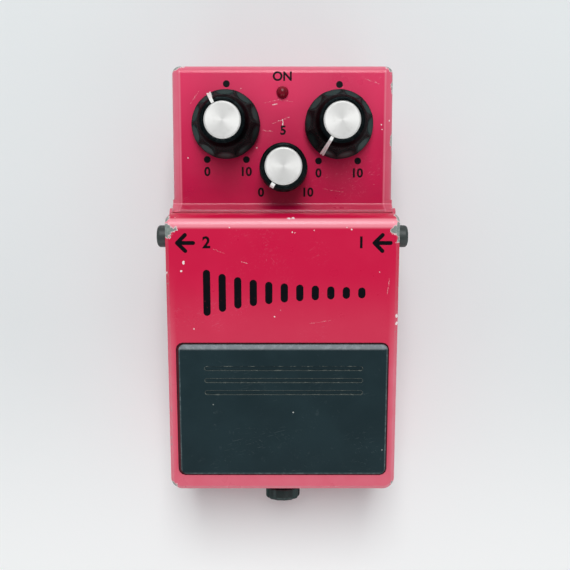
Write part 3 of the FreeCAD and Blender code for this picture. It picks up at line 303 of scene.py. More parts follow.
def deepest(finish, where, spots, strokes=()):
    """How far inside the nearest worn spot or scratch a point lies, in millimetres."""
    depths = [radius - finish.distance(where, (x, y, z)) for x, y, z, radius in spots]
    for start, end, width in strokes:
        run = Vector(end) - Vector(start)
        offset = finish.vector("SUBTRACT", where, start)
        share = finish.dot(offset, tuple(run)) * (1 / run.length_squared)
        share = finish.most(finish.calc("MINIMUM", share, 1.0), 0.0)
        feeds = {0: tuple(run), "Scale": share}
        nearest = finish.add("ShaderNodeVectorMath", feeds, operation="SCALE").outputs[0]
        depths.append(width / 2 - finish.distance(offset, nearest))
    return finish.most(*depths)


def depth_below(finish, slope):
    """How far a point lies under a sloping top."""
    return (finish.axis("Y") - slope.y) * math.tan(slope.angle) + slope.z - finish.axis("Z")


def rim_distance(finish, half_width, slope):
    """Distance from the sharp line where a sloping top would meet a side wall."""
    out = half_width - abs(finish.axis("X"))
    return finish.calc("SQRT", out ** 2.0 + depth_below(finish, slope) ** 2.0)


def enamel(name, colours, painted_sheen, bare_spots, nicks, strokes, rim, crest=None, recess_shade=None):
    """Gloss paint on die-cast metal: scratches, specks, worn rims, bare places, and painted light and shade."""
    finish = Finish(name, Coat_Weight=0.15, Coat_Roughness=0.08, IOR=1.5, Specular_IOR_Level=0.35)
    rear_lit_colour, deep, sheen_colour = colours
    # Painted light: the paint turns paler towards the rear, standing in for reflection there, with random tone
    # over it
    rear_light_painted = finish.axis("Y").step(32.0, 64.0) + (finish.noise(26.0, 2.0) - 0.5) * 0.9
    paint = finish.mix(rear_light_painted, deep, rear_lit_colour)
    # Painted sheen: pale bands standing in for highlights and reflections on the paint
    paint = finish.mix(painted_sheen(finish) * finish.noise(5.0).between(0.75, 1.1), paint, sheen_colour)
    # Painted highlight: a bright band along the crest
    if crest:
        paint = finish.mix(crest(finish) * 0.8, paint, srgb(255, 158, 174))
    # Painted shade: the recess round the pad darkened
    if recess_shade:
        paint = finish.mix(recess_shade(finish) * 0.85, paint, srgb(22, 12, 16))
    lines = finish.most(finish.scratches(24, 9.0, 0.16, 0.30), finish.scratches(-52, 6.0, 0.13, 0.285),
                        finish.scratches(81, 12.0, 0.15, 0.29))
    lines = lines * finish.noise(14.0).step(0.52, 0.66) * 0.4
    paint = finish.mix(lines, paint, srgb(232, 130, 156))
    specks = finish.cells(3.4).step(0.060, 0.035) * finish.noise(9.0).step(0.58, 0.66)
    paint = finish.mix(specks, paint, srgb(238, 190, 200))
    nicked = deepest(finish, finish.ragged(0.5, 0.9), nicks, strokes)
    paint = finish.mix(nicked.step(-0.03, 0.06), paint, srgb(246, 232, 232))
    depth = deepest(finish, finish.ragged(1.4, 4.2), bare_spots)
    worn_rim = rim(finish).step(1.05, 0.55) * finish.noise(2.6, 4.0, 0.7).step(0.60, 0.66)
    bare = finish.most(depth.step(0.0, 0.12), worn_rim)
    paint = finish.mix(depth.step(-0.3, -0.12), paint, srgb(232, 214, 214))
    casting = finish.mix(finish.noise(0.8, 4.0), srgb(96, 110, 104), srgb(190, 202, 196))
    finish.relief((finish.noise(0.55, 2.0), 0.008), (bare.step(0.9, 0.1), 0.05), (lines * -1.0, 0.02))
    return finish.output(Base_Color=finish.mix(bare, paint, casting), Metallic=bare * 0.7,
                         Roughness=finish.most(finish.noise(8.0, 4.0).between(0.22, 0.38), bare * 0.5))


def case_painted_sheen(finish):
    """Painted highlights along the panel's rounded edges, its rear edge and the ridge; the lower walls made paler
    towards the bottom.
    """
    x, y = finish.axis("X"), finish.axis("Y")
    out = abs(x)
    edge = out.step(29.9, 30.9) * x.step(-10.0, 10.0).between(0.75, 0.5)
    bend = out.step(29.7, 30.1) * out.step(30.8, 30.3)
    sides = finish.most(edge, bend * 0.8) * y.step(22.8, 23.4)
    rear = y.step(64.0, 64.9)
    foot = y.step(25.3, 25.7) * y.step(26.5, 26.0)
    ridge = y.step(22.7, 22.9) * y.step(24.1, 23.8)
    top = finish.most(sides, rear * 0.8, foot * 0.3, ridge * 0.4)
    low = finish.axis("Z").step(30.0, 8.0) * 0.25
    return finish.most(top * depth_below(finish, PANEL).step(3.4, 2.2), low)


def treadle_painted_sheen(finish):
    """Painted reflection: pale round the pad, most in front of it."""
    y = finish.axis("Y")
    side = abs(finish.axis("X")).step(29.5, 33.2) * y.step(10.0, -30.0)
    middle = y.step(6.0, -14.0)
    front = y.step(-44.0, -57.0)
    return finish.most(side * 0.75, middle * 0.14, front * 0.66)


def treadle_crest_highlight(finish):
    """Painted highlight along the treadle's crest."""
    y = finish.axis("Y")
    return y.step(17.5, 18.4) * y.step(21.0, 20.3)


def pad_recess_painted_shade(finish):
    """The band of the treadle's recess that shows round its pad, darkened as painted shade."""
    down, out, y = depth_below(finish, TREAD), abs(finish.axis("X")), finish.axis("Y")
    inside = out.step(31.5, 31.3) * y.step(-14.6, -14.8) * y.step(-55.9, -55.7)
    return down.step(0.12, 0.3) * down.step(1.4, 1.2) * inside


def case_rim(finish):
    return rim_distance(finish, CONTROL_HALF_WIDTH + 0.1, PANEL)


def treadle_rim(finish):
    return rim_distance(finish, TREADLE_HALF_WIDTH, TREAD)


# Plainer finishes

def metal(name, colour, roughness, grain=0.012):
    """Bare or plated metal with a fine grain and a little tarnish."""
    finish = Finish(name, Metallic=1.0)
    stain = finish.noise(3.0, 4.0).step(0.4, 0.7)
    fine = finish.noise(0.25, 3.0, 0.6)
    finish.relief((fine, grain))
    rough = fine.between(roughness * 0.75, roughness * 1.25) + stain * (roughness * 0.25)
    return finish.output(Base_Color=finish.mix(stain * 0.6, colour, shaded(colour, 0.72)), Roughness=rough)


def plastic(name, colour, roughness, dust=0.10, dust_colour=srgb(150, 152, 154)):
    """Moulded plastic with a fine grain, thin scratches and dust."""
    finish = Finish(name, IOR=1.48)
    body = finish.mix(finish.noise(4.0), colour, shaded(colour, 0.8))
    marks = finish.most(finish.dust(dust), finish.fine_scratches() * 0.12)
    finish.relief((finish.noise(0.22, 3.0, 0.6), 0.006))
    return finish.output(Base_Color=finish.mix(marks, body, dust_colour),
                         Roughness=finish.noise(1.6, 4.0).between(roughness * 0.82, roughness * 1.2))


def knob_black():
    """Moulded knob plastic: satin on the grips, thinly dusted, and darkened round the caps as painted shade."""
    tint = (0.08, 0.22, 0.22, 1.0)
    finish = Finish("knob_black", Metallic=0.85, Specular_IOR_Level=0.2, Specular_Tint=tint)
    above = depth_below(finish, PANEL) * -1.0
    body = finish.mix(finish.noise(4.0), srgb(76, 85, 84), srgb(60, 70, 70))
    # Painted shade: the colour darkens towards the top, round the cap
    body = finish.mix(above.step(10.2, 12.4), body, srgb(14, 19, 21))
    marks = finish.most(finish.dust(0.08), finish.fine_scratches() * 0.14)
    finish.relief((finish.noise(0.22, 3.0, 0.6), 0.004))
    return finish.output(Base_Color=finish.mix(marks, body, srgb(130, 142, 144)),
                         Roughness=finish.noise(1.6, 4.0).between(0.32, 0.46))


def rubber(name, colour, roughness, grain_size=0.35, grain=0.03):
    finish = Finish(name, IOR=1.45)
    body = finish.mix(finish.noise(5.0, 5.0, 0.62).step(0.35, 0.75), colour, shaded(colour, 1.7, 0.008))
    finish.relief((finish.cells(grain_size), grain), (finish.noise(0.9, 3.0), grain))
    return finish.output(Base_Color=body,
                         Roughness=finish.noise(2.0, 4.0).between(roughness * 0.9, roughness * 1.12))


def pad_rubber():
    """Tread rubber, scuffed, paler along its grooves' edges, with painted highlights on its outline and rear
    bevel.
    """
    finish = Finish("pad_rubber", IOR=1.47, Specular_IOR_Level=0.3)
    x, y = finish.axis("X"), finish.axis("Y")
    body = finish.mix(finish.noise(12.0, 4.0).step(0.35, 0.7), srgb(10, 36, 42), srgb(17, 42, 48))
    # Paler on the grooves' edges, most on the rear one
    band = y.step(-33.0, -30.5) * y.step(-20.0, -22.0) * abs(x).step(26.0, 23.5)
    band = band * y.step(-23.6, -22.6).between(0.45, 1.0)
    broken = finish.noise(1.6, 5.0, 0.7).step(0.47, 0.62)
    rubbed = finish.most(broken, band.between(0.75, 0.0))
    pale_groove_edges = finish.edges(0.35).step(0.02, 0.2) * rubbed * band.between(0.6, 0.9)
    body = finish.mix(pale_groove_edges, body, srgb(150, 156, 146))
    # Painted highlights on the pad's rounded outline and rear bevel
    outline = finish.most(abs(x - PAD_SHIFT).step(PAD_HALF_WIDTH - 0.62, PAD_HALF_WIDTH - 0.42),
                          y.step(PAD_FRONT_Y + 1.0, PAD_FRONT_Y + 0.75))
    body = finish.mix(outline * broken.between(0.2, 0.5), body, srgb(120, 136, 138))
    body = finish.mix(y.step(-17.4, -16.7) * broken.between(0.7, 0.95), body, srgb(136, 146, 152))
    lines = finish.most(finish.scratches(14, 7.0, 0.16, 0.30), finish.scratches(-38, 5.0, 0.14, 0.30))
    lines = lines * finish.noise(11.0).step(0.5, 0.66)
    scuff = finish.noise(3.2, 5.0, 0.7).step(0.60, 0.74) * finish.noise(15.0).step(0.46, 0.6)
    body = finish.mix(finish.most(lines * 0.25, scuff * 0.16), body, srgb(112, 122, 124))
    body = finish.mix(finish.cells(9.0).step(0.030, 0.018) * 0.8, body, srgb(190, 196, 192))
    finish.relief((finish.cells(0.4), 0.012), (finish.noise(1.2, 4.0), 0.02))
    return finish.output(Base_Color=body, Roughness=finish.noise(6.0, 4.0).between(0.42, 0.6))


def spun_aluminium():
    """Turned face: rings about the piece's own axis, which draw the light into a bow tie."""
    finish = Finish("spun_aluminium", Metallic=0.4, Anisotropic=0.5)
    flat = finish.vector("MULTIPLY", finish.mm, (1.0, 1.0, 0.0))
    rings = finish.add("ShaderNodeCombineXYZ", {0: finish.distance(flat, (0.0, 0.0, 0.0))}).outputs[0]
    turned = finish.noise(0.09, 2.0, 0.6, rings)
    tangent = finish.add("ShaderNodeTangent", direction_type="RADIAL", axis="Z").outputs[0]
    finish.relief((turned, 0.006))
    stain = finish.noise(2.0, 4.0).step(0.5, 0.75) * 0.35
    colour = finish.mix(stain, srgb(224, 224, 222), srgb(200, 199, 196))
    return finish.output(Base_Color=colour, Roughness=turned.between(0.4, 0.55), Tangent=tangent)


def lamp_red():
    finish = Finish("lamp_red", IOR=1.45, Specular_IOR_Level=0.3)
    depth = finish.noise(1.2).step(0.3, 0.7)
    finish.relief((finish.noise(0.5, 2.0), 0.004))
    return finish.output(Base_Color=finish.mix(depth, srgb(140, 10, 38), srgb(108, 5, 27)),
                         Roughness=depth.between(0.2, 0.3))


def print_black():
    """Screen print, a little rubbed."""
    finish = Finish("print_black", IOR=1.5, Specular_IOR_Level=0.12)
    body = finish.mix(finish.noise(3.0), srgb(5, 7, 13), srgb(9, 11, 18))
    rubbed = finish.noise(0.9, 5.0, 0.7).step(0.66, 0.74) * 0.7
    finish.relief((finish.noise(0.3, 3.0), 0.005))
    return finish.output(Base_Color=finish.mix(rubbed, body, srgb(176, 52, 84)),
                         Roughness=finish.noise(2.0).between(0.3, 0.45))


def circuit_board():
    """Phenolic board with tinned tracks and pads."""
    finish = Finish("circuit_board", IOR=1.5)
    sheet = finish.mix(finish.noise(2.5, 4.0), srgb(158, 122, 62), srgb(136, 100, 46))
    feeds = {"Vector": finish.mm, "Scale": 0.22, "Mortar Size": 0.035}
    tracks = finish.number("ShaderNodeTexBrick", "Fac", feeds, offset=0.37)
    copper = finish.most(tracks * 0.8, finish.cells(2.54).step(0.26, 0.22))
    finish.relief((copper, 0.03))
    return finish.output(Base_Color=finish.mix(copper, sheet, srgb(172, 176, 178)), Metallic=copper * 0.8,
                         Roughness=copper.between(0.55, 0.35))


def battery_print():
    """Plain two-tone battery sleeve: dark body, copper-coloured end."""
    finish = Finish("battery_print", IOR=1.5)
    low, high = box_mm("battery")
    band_y = high.y - (high.y - low.y) * 0.3
    end = finish.axis("Y").step(band_y - 0.2, band_y + 0.2)
    worn = finish.noise(1.5, 5.0, 0.7).step(0.62, 0.7)
    colour = finish.mix(end, srgb(38, 41, 48), srgb(176, 110, 62))
    finish.relief((finish.noise(4.0), 0.03))
    return finish.output(Base_Color=finish.mix(worn * 0.5, colour, srgb(170, 170, 168)),
                         Metallic=end.between(0.2, 0.8), Roughness=worn.between(0.3, 0.42))


def foam():
    finish = Finish("foam")
    pores = finish.cells(0.7)
    finish.relief((pores, 0.25), (finish.noise(3.0), 0.1))
    return finish.output(Base_Color=finish.mix(pores, srgb(46, 46, 50), srgb(92, 92, 96)),
                         Roughness=pores.between(0.85, 1.0))


def fish_paper():
    finish = Finish("fish_paper", IOR=1.45)
    fibres = finish.noise(0.5, 5.0, 0.7, finish.turned(20, (6.0, 1.0, 1.0)))
    finish.relief((fibres, 0.03))
    return finish.output(Base_Color=finish.mix(fibres, srgb(112, 114, 118), srgb(138, 140, 142)),
                         Roughness=fibres.between(0.6, 0.8))


class Slope:
    """A plane that rises towards the rear, and the places on it."""

    def __init__(self, degrees, y, z):
        self.angle = math.radians(degrees)
        self.y = y
        self.z = z

    def height(self, y):
        return self.z + (y - self.y) * math.tan(self.angle)

    def place(self, x, y, turn=0.0):
        """Matrix of a place on the plane, its Z along the plane's normal."""
        tilt = Matrix.Rotation(self.angle, 4, "X")
        spot = Vector((x, y, self.height(y)))
        return Matrix.Translation(spot * MM) @ tilt @ Matrix.Rotation(math.radians(turn), 4, "Z")


PANEL = Slope(PANEL_SLOPE, PANEL_REAR_Y, PANEL_REAR_Z)
TREAD = Slope(TREADLE_SLOPE, HINGE_Y, HINGE_Z + TREADLE_ABOVE_HINGE / math.cos(math.radians(TREADLE_SLOPE)))

# Enamel colours: the paler rear-lit tone, the deep tone and the pale painted sheen
CASE_COLOURS = (srgb(226, 44, 95), srgb(192, 6, 68), srgb(226, 122, 142))
TREADLE_COLOURS = (srgb(236, 46, 92), srgb(208, 18, 68), srgb(232, 128, 146))
FINISHES = {
    "enamel": enamel("enamel", CASE_COLOURS, case_painted_sheen, CASE_BARE, CASE_NICKS, CASE_STROKES, case_rim),
    "treadle_enamel": enamel("treadle_enamel", TREADLE_COLOURS, treadle_painted_sheen, TREADLE_BARE, TREADLE_NICKS,
                             TREADLE_STROKES, treadle_rim, treadle_crest_highlight, pad_recess_painted_shade),
    "zinc_steel": metal("zinc_steel", srgb(176, 178, 176), 0.38),
    "bright_nickel": metal("bright_nickel", srgb(214, 212, 206), 0.18, 0.004),
    "spring_steel": metal("spring_steel", srgb(138, 140, 142), 0.3, 0.01),
    "spun_aluminium": spun_aluminium(),
    "can_aluminium": plastic("can_aluminium", srgb(38, 48, 92), 0.32),
    "brass": metal("brass", srgb(206, 172, 98), 0.28, 0.006),
    "pad_rubber": pad_rubber(),
    "base_rubber": rubber("base_rubber", srgb(26, 27, 29), 0.72, 0.5, 0.05),
    "stop_rubber": rubber("stop_rubber", srgb(30, 31, 33), 0.66),
    "knob_black": knob_black(),
    "pointer_white": plastic("pointer_white", srgb(253, 253, 251), 0.4, 0.06, srgb(200, 200, 196)),
    "black_plastic": plastic("black_plastic", srgb(24, 25, 27), 0.42),
    "grey_plastic": plastic("grey_plastic", srgb(50, 59, 58), 0.44),
    "white_plastic": plastic("white_plastic", srgb(226, 226, 220), 0.42, 0.15),
    "lamp_red": lamp_red(),
    "circuit_board": circuit_board(),
    "fish_paper": fish_paper(),
    "battery_print": battery_print(),
    "foam": foam(),
}
PRINT = print_black()


# Mesh building, in millimetres

def skin(rings, closed=True):
    """Mesh between rings of as many points each, with or without end faces."""
    bm = bmesh.new()
    loops = [[bm.verts.new(point) for point in ring] for ring in rings]
    pairs = list(zip(loops, loops[1:]))
    if not closed:
        pairs.append((loops[-1], loops[0]))
    for lower, upper in pairs:
        for index in range(len(lower)):
            after = (index + 1) % len(lower)
            bm.faces.new((lower[index], lower[after], upper[after], upper[index]))
    if closed:
        bm.faces.new(list(reversed(loops[0])))
        bm.faces.new(loops[-1])
    return bm


def circle(radius, height, sides, ripple=None):
    """Ring of points about Z; the ripple takes some radius away at each angle."""
    points = []
    for index in range(sides):
        angle = 2 * math.pi * index / sides
        reach = radius - (ripple(angle) if ripple else 0.0)
        points.append((reach * math.cos(angle), reach * math.sin(angle), height))
    return points


def eased(corners, steps=4):
    """Polyline through (a, b, radius) corners, each rounded by its radius."""
    points = []
    for index, (a, b, radius) in enumerate(corners):
        corner = Vector((a, b))
        if not radius:
            points.append((a, b))
            continue
        back = (Vector(corners[index - 1][:2]) - corner).normalized()
        ahead = (Vector(corners[(index + 1) % len(corners)][:2]) - corner).normalized()
        half = back.angle(ahead) / 2
        first = back * (radius / math.tan(half))
        last = ahead * (radius / math.tan(half))
        centre = (back + ahead).normalized() * (radius / math.sin(half))
        for step in range(steps + 1):
            share = step / steps
            towards = (first - centre).normalized().slerp((last - centre).normalized(), share)
            points.append(tuple(corner + centre + towards * radius))
    return points


def lathe(profile, sides=96, closed=True):
    """Turned body about Z from (radius, height) points; not closed, it is a tube."""
    return skin([circle(radius, height, sides) for radius, height in profile], closed)


def prism(outline, low, high):
    """Upright body from a flat outline of (x, y) points."""
    return skin([[(x, y, z) for x, y in outline] for z in (low, high)])


def slab(half_width, half_length, radius, steps=6):
    """Outline of a rectangle with rounded corners."""
    corners = [(half_width, -half_length, radius), (half_width, half_length, radius),
               (-half_width, half_length, radius), (-half_width, -half_length, radius)]
    return eased(corners, steps)


def soft_box(low, high, radius, steps=3):
    """Block with all its edges rounded."""
    bm = bmesh.new()
    middle = (Vector(low) + Vector(high)) / 2
    size = Vector(high) - Vector(low)
    bmesh.ops.create_cube(bm, size=1.0, matrix=Matrix.Translation(middle) @ Matrix.Diagonal((*size, 1.0)))
    bmesh.ops.bevel(bm, geom=bm.edges[:], offset=radius, segments=steps, profile=0.5, affect="EDGES")
    return bm


def in_scene(name, data):
    """New object with this data, linked to the scene."""
    obj = bpy.data.objects.new(name, data)
    bpy.context.scene.collection.objects.link(obj)
    return obj


def moved(bm, matrix):
    bmesh.ops.transform(bm, matrix=matrix, verts=bm.verts)
    return bm


def along(direction, position=(0, 0, 0)):
    """Matrix that takes +Z to a direction and the origin to a position."""
    turn = Vector((0, 0, 1)).rotation_difference(Vector(direction)).to_matrix().to_4x4()
    return Matrix.Translation(position) @ turn


def together(*parts):
    """Several separate bodies as one mesh."""
    whole = bmesh.new()
    for part in parts:
        mesh = bpy.data.meshes.new("part")
        part.to_mesh(mesh)
        part.free()
        whole.from_mesh(mesh)
        bpy.data.meshes.remove(mesh)
    return whole


def combined(bm, tools, operation="DIFFERENCE"):
    """The mesh with other bodies cut from it, joined to it or kept in common."""
    things = []
    for shape in [bm] + tools:
        bmesh.ops.recalc_face_normals(shape, faces=shape.faces)
        mesh = bpy.data.meshes.new("work")
        shape.to_mesh(mesh)
        shape.free()
        things.append(in_scene("work", mesh))
    for tool in things[1:]:
        modifier = things[0].modifiers.new("combine", "BOOLEAN")
        modifier.operation = operation
        modifier.solver = "EXACT"
        modifier.object = tool
    result = bmesh.new()
    result.from_object(things[0], bpy.context.evaluated_depsgraph_get())
    for thing in things:
        mesh = thing.data
        bpy.data.objects.remove(thing)
        bpy.data.meshes.remove(mesh)
    return result


def even_shading(obj):
    """Shading that follows the large faces, with the sharp edges kept."""
    obj.modifiers.new("even_shading", "WEIGHTED_NORMAL").keep_sharp = True


def piece(name, bm, body, slot, *stands_for, place=None, finish=None, sharp=34.0, own_axes=False):
    """Put a finished body in the scene, on its CAD body and in its finish.

    Its finish is measured in the frame's axes, or in the place's axes with own_axes.
    """
    bmesh.ops.recalc_face_normals(bm, faces=bm.faces)
    for face in bm.faces:
        face.smooth = True
    for edge in bm.edges:
        edge.smooth = edge.calc_face_angle(math.pi) < math.radians(sharp)
    bmesh.ops.scale(bm, vec=(MM, MM, MM), verts=bm.verts)
    if place and not own_axes:
        moved(bm, place)
    mesh = bpy.data.meshes.new(name)
    bm.to_mesh(mesh)
    bm.free()
    mesh.materials.append(finish or FINISHES[slot])
    obj = in_scene(name, mesh)
    if place and own_axes:
        obj.matrix_world = place
    even_shading(obj)
    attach(obj, body)
    if stands_for:
        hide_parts(*stands_for)
    return obj


# Dials

# Heights are above the panel, along its normal
KNOB_R = 10.0
KNOB_TOP = 14.35
KNOB_LIFT = 1.2
RIM_H = 3.0
CONE_TOP_R = 6.4
CONE_TOP_H = 13.8
FLUTES = 10
ARRIS_TURN = math.radians(10.8)
LARGE_CAP_R = 5.14
LARGE_CAP_TOP = 14.64
SMALL_CAP_R = 5.28
SMALL_CAP_TOP = 12.3
DIAL_ANGLES = {"left": 28.8, "right": 150.0, "centre": 150.0}


def dial_place(side, turn):
    foot = Vector(JOINTS[side + "_turn"]["pos_m"]) / MM
    return PANEL.place(foot.x, foot.y, turn)


def dial_piece(side, part, kind, bm, slot):
    """A piece of a dial, turned to the dial's setting."""
    node = f"{side}_{part}"
    return piece(f"{node}_{kind}", bm, BODY_OF[node], slot, node, place=dial_place(side, DIAL_ANGLES[side]))


def cone_radius(height):
    return KNOB_R - (height - RIM_H) * (KNOB_R - CONE_TOP_R) / (CONE_TOP_H - RIM_H)


def scoop_depth(height):
    """Deepest cut of the finger scoops at a height; they open out above the rim."""
    levels = [(0.0, 0.08), (RIM_H, 0.08), (4.7, 1.3), (6.8, 1.0), (11.0, 0.0), (KNOB_TOP, 0.0)]
    for (low, first), (high, second) in zip(levels, levels[1:]):
        if height <= high:
            share = (height - low) / (high - low)
            return first + (second - first) * share * share * (3 - 2 * share)
    return 0.0


KNOB_SIDES = 20 * FLUTES


def knob_ring(radius, height):
    """Ring of the large knob; its scoops meet in arrises, one of them just beside the pointer."""
    depth = scoop_depth(height)

    def scoop(angle):
        across = ((angle - math.pi / 2 + ARRIS_TURN) / (2 * math.pi / FLUTES) % 1.0) * 2 - 1
        return depth * (1 - abs(across) ** 2.7)

    return circle(radius, height, KNOB_SIDES, scoop)


def large_knob(side):
    profile = [(9.3, KNOB_LIFT), (9.8, KNOB_LIFT), (9.95, KNOB_LIFT + 0.15), (KNOB_R, 1.6), (KNOB_R, 2.7),
               (9.97, 2.86), (9.9, 3.02), (9.8, 3.25)]
    height = 3.6
    while height < CONE_TOP_H - 0.5:
        profile.append((cone_radius(height), height))
        height += 0.45
    top = [(6.55, 13.3, 0.0), (6.25, KNOB_TOP, 0.35), (LARGE_CAP_R + 0.16, KNOB_TOP, 0.12),
           (LARGE_CAP_R + 0.1, KNOB_TOP - 0.5, 0.0)]
    rings = [knob_ring(radius, height) for radius, height in profile + eased(top, 4)]
    hollow = [circle(6.6, 6.4, KNOB_SIDES), circle(8.0, 2.4, KNOB_SIDES)]
    return dial_piece(side, "knob", "body", skin(hollow + rings), "knob_black")


def pointer(side):
    """White strip from the cap's edge down the cone; it widens, and a groove splits its lower end."""
    lean = math.atan2(KNOB_R - CONE_TOP_R, CONE_TOP_H - RIM_H)
    length = math.hypot(KNOB_R - CONE_TOP_R, CONE_TOP_H - RIM_H)
    deep, proud = 0.5, 0.2
    rings = []
    levels = ((0.05, 0.64, 0.2), (length * 0.45, 0.58, 0.16), (length * 0.62, 0.54, 0.0),
              (length + 0.12, 0.47, 0.0))
    for along_z, half, groove in levels:
        floor, slit = proud - groove, half * 0.26
        right = [(half, -deep), (half, proud - 0.05), (half - 0.05, proud), (slit, proud), (slit * 0.8, floor)]
        left = [(-x, y) for x, y in right]
        rings.append([(x, y, along_z) for x, y in left[:1] + right + left[:0:-1]])
    strip = moved(skin(rings), Matrix.Translation((0, KNOB_R, RIM_H)) @ Matrix.Rotation(lean, 4, "X"))
    foot = KNOB_TOP - 0.5
    ends = ((LARGE_CAP_R + 0.12, 0.44, KNOB_TOP + 0.13), (6.3, 0.47, KNOB_TOP + 0.13),
            (6.52, 0.47, KNOB_TOP - 0.08))
    over = skin([[(-half, y, foot), (half, y, foot), (half, y, top), (-half, y, top)] for y, half, top in ends])
    return dial_piece(side, "pointer", "bar", together(strip, over), "pointer_white")


def cap(side, radius, top):
    """Turned aluminium disc with a bright chamfered rim."""
    profile = [(radius, top - 0.8), (radius, top - 0.26), (radius - 0.04, top - 0.18),
               (radius - 0.34, top - 0.03), (radius - 0.42, top), (radius - 0.5, top), (3.2, top), (1.2, top),
               (0.12, top)]
    node = side + "_cap"
    return piece(node + "_disc", lathe(profile, 120), BODY_OF[node], "spun_aluminium", node,
                 place=dial_place(side, 0.0), sharp=50.0, own_axes=True)


SMALL_KNOB_TOP = 12.0
SMALL_FLUTES = 18


def small_knob():
    """Plain round knob with fine shallow flutes round its side."""
    corners = [(5.9, 3.6, 0.0), (5.9, 0.9, 0.2), (7.1, 0.9, 0.15), (7.1, 1.5, 0.0), (7.1, 1.8, 0.0),
               (7.08, 2.6, 0.0), (6.68, 10.2, 0.0), (6.65, 10.7, 0.0), (6.6, SMALL_KNOB_TOP - 0.75, 0.0),
               (6.5, SMALL_KNOB_TOP - 0.35, 0.2), (6.15, SMALL_KNOB_TOP, 0.2),
               (SMALL_CAP_R + 0.16, SMALL_KNOB_TOP, 0.12), (SMALL_CAP_R + 0.1, SMALL_KNOB_TOP - 0.5, 0.0)]

    def flute(angle):
        return 0.26 * (0.5 - 0.5 * math.cos(angle * SMALL_FLUTES))

    rings = []
    for radius, height in eased(corners, 4):
        rings.append(circle(radius, height, 12 * SMALL_FLUTES, flute if 1.6 < height < 10.9 else None))
    return dial_piece("centre", "knob", "body", skin(rings), "knob_black")


def small_pointer():
    """Short mark over the small knob's top edge."""
    top = SMALL_KNOB_TOP
    outline = eased([(SMALL_CAP_R + 0.14, top - 0.6, 0.0), (SMALL_CAP_R + 0.14, top + 0.1, 0.0),
                     (6.2, top + 0.1, 0.3), (6.74, top - 0.75, 0.5), (6.86, top - 2.4, 0.0),
                     (6.2, top - 2.4, 0.0)], 3)
    bm = skin([[(x, r, h) for r, h in outline] for x in (-0.6, 0.6)])
    return dial_piece("centre", "pointer", "bar", bm, "pointer_white")


LAMP_Y = 58.2


def check_lamp():
    """Domed lens standing on its flange."""
    low, high = box_mm("check_lamp")
    radius = (high.x - low.x) / 2
    dome = [(radius * math.cos(turn), 0.45 + 1.3 * math.sin(turn))
            for turn in [math.radians(step * 10) for step in range(9)]]
    profile = [(radius, -4.4), (radius, 0.3)] + dome + [(0.06, 1.75)]
    return piece("check_lamp_lens", lathe(profile, 64), "base", "lamp_red", "check_lamp",
                 place=PANEL.place((low.x + high.x) / 2, LAMP_Y), sharp=60.0)


# Treadle pad

GROOVE_YS = (-22.6, -26.2, -29.8)


def treadle_pad():
    """Rubber slab with a wide rear bevel and plain tread grooves."""
    middle_y = (PAD_REAR_Y + PAD_FRONT_Y) / 2
    half_length = (PAD_REAR_Y - PAD_FRONT_Y) / 2 / math.cos(TREAD.angle) - 0.55
    levels = ((0, 0, -0.84), (0, 0, 0.02), (0.03, 0.12, 0.1), (0.1, 0.75, 0.38), (0.22, 1.4, 0.64),
              (0.34, 1.65, 0.7))
    rings = []
    for inset, rear_inset, height in levels:
        outline = slab(PAD_HALF_WIDTH - inset, half_length - (inset + rear_inset) / 2, 1.7)
        shift = (inset - rear_inset) / 2
        rings.append([(x, y + shift, height) for x, y in outline])
    grooves = []
    for groove_y in GROOVE_YS:
        y = (groove_y - middle_y) / math.cos(TREAD.angle)
        outline = [(x + 0.2, y + 0.1 + along_y) for x, along_y in slab(23.2, 0.6, 0.55, 4)]
        grooves.append(prism(outline, 0.4, 1.5))
    return piece("treadle_pad_rubber", combined(skin(rings), grooves), "treadle", "pad_rubber", "treadle_pad",
                 place=TREAD.place(PAD_SHIFT, middle_y - 0.1))


# Printed marks

PRINT_FOOT = -0.03
PRINT_LIFT = 0.02
ROW_Y = 13.66


def capsule(start, end, width):
    """Outline of a stroke with round ends."""
    steps = 10
    first, last = Vector(start), Vector(end)
    direction = (last - first).normalized()
    heading = math.atan2(direction.y, direction.x)
    points = []
    for centre, turn in ((last, heading - math.pi / 2), (first, heading + math.pi / 2)):
        for step in range(steps + 1):
            angle = turn + math.pi * step / steps
            points.append((centre.x + width / 2 * math.cos(angle), centre.y + width / 2 * math.sin(angle)))
    return points


def mark(name, bm, body, slot, place):
    return piece(name, bm, body, slot, place=place, finish=PRINT)


def arrow(name, tip_x):
    """Left-pointing arrow on the treadle."""
    start, head, length, width = 0.6, 2.3, 5.2, 1.15
    ends = [(length, 0), (start + head, head), (start + head, -head)]
    strokes = [prism(capsule((start, 0), end, width), PRINT_FOOT, PRINT_LIFT) for end in ends]
    bm = combined(strokes[0], strokes[1:], "UNION")
    return mark(name, bm, "treadle", "treadle_enamel", TREAD.place(tip_x, ROW_Y))


def digits(name, text, size, slope, x, y, body, slot):
    """Plain number or word, printed flat on a slope."""
    curve = bpy.data.curves.new(name, "FONT")
    curve.body = text
    curve.size = size
    curve.align_x = "CENTER"
    curve.align_y = "CENTER"
    curve.extrude = (PRINT_LIFT - PRINT_FOOT) / 2
    curve.offset = size * 0.03
    thing = in_scene(name, curve)
    mesh = bpy.data.meshes.new_from_object(thing.evaluated_get(bpy.context.evaluated_depsgraph_get()))
    bm = bmesh.new()
    bm.from_mesh(mesh)
    bpy.data.objects.remove(thing)
    bpy.data.meshes.remove(mesh)
    bpy.data.curves.remove(curve)
    bmesh.ops.remove_doubles(bm, verts=bm.verts, dist=0.0005)
    return mark(name, bm, body, slot, slope.place(x, y))


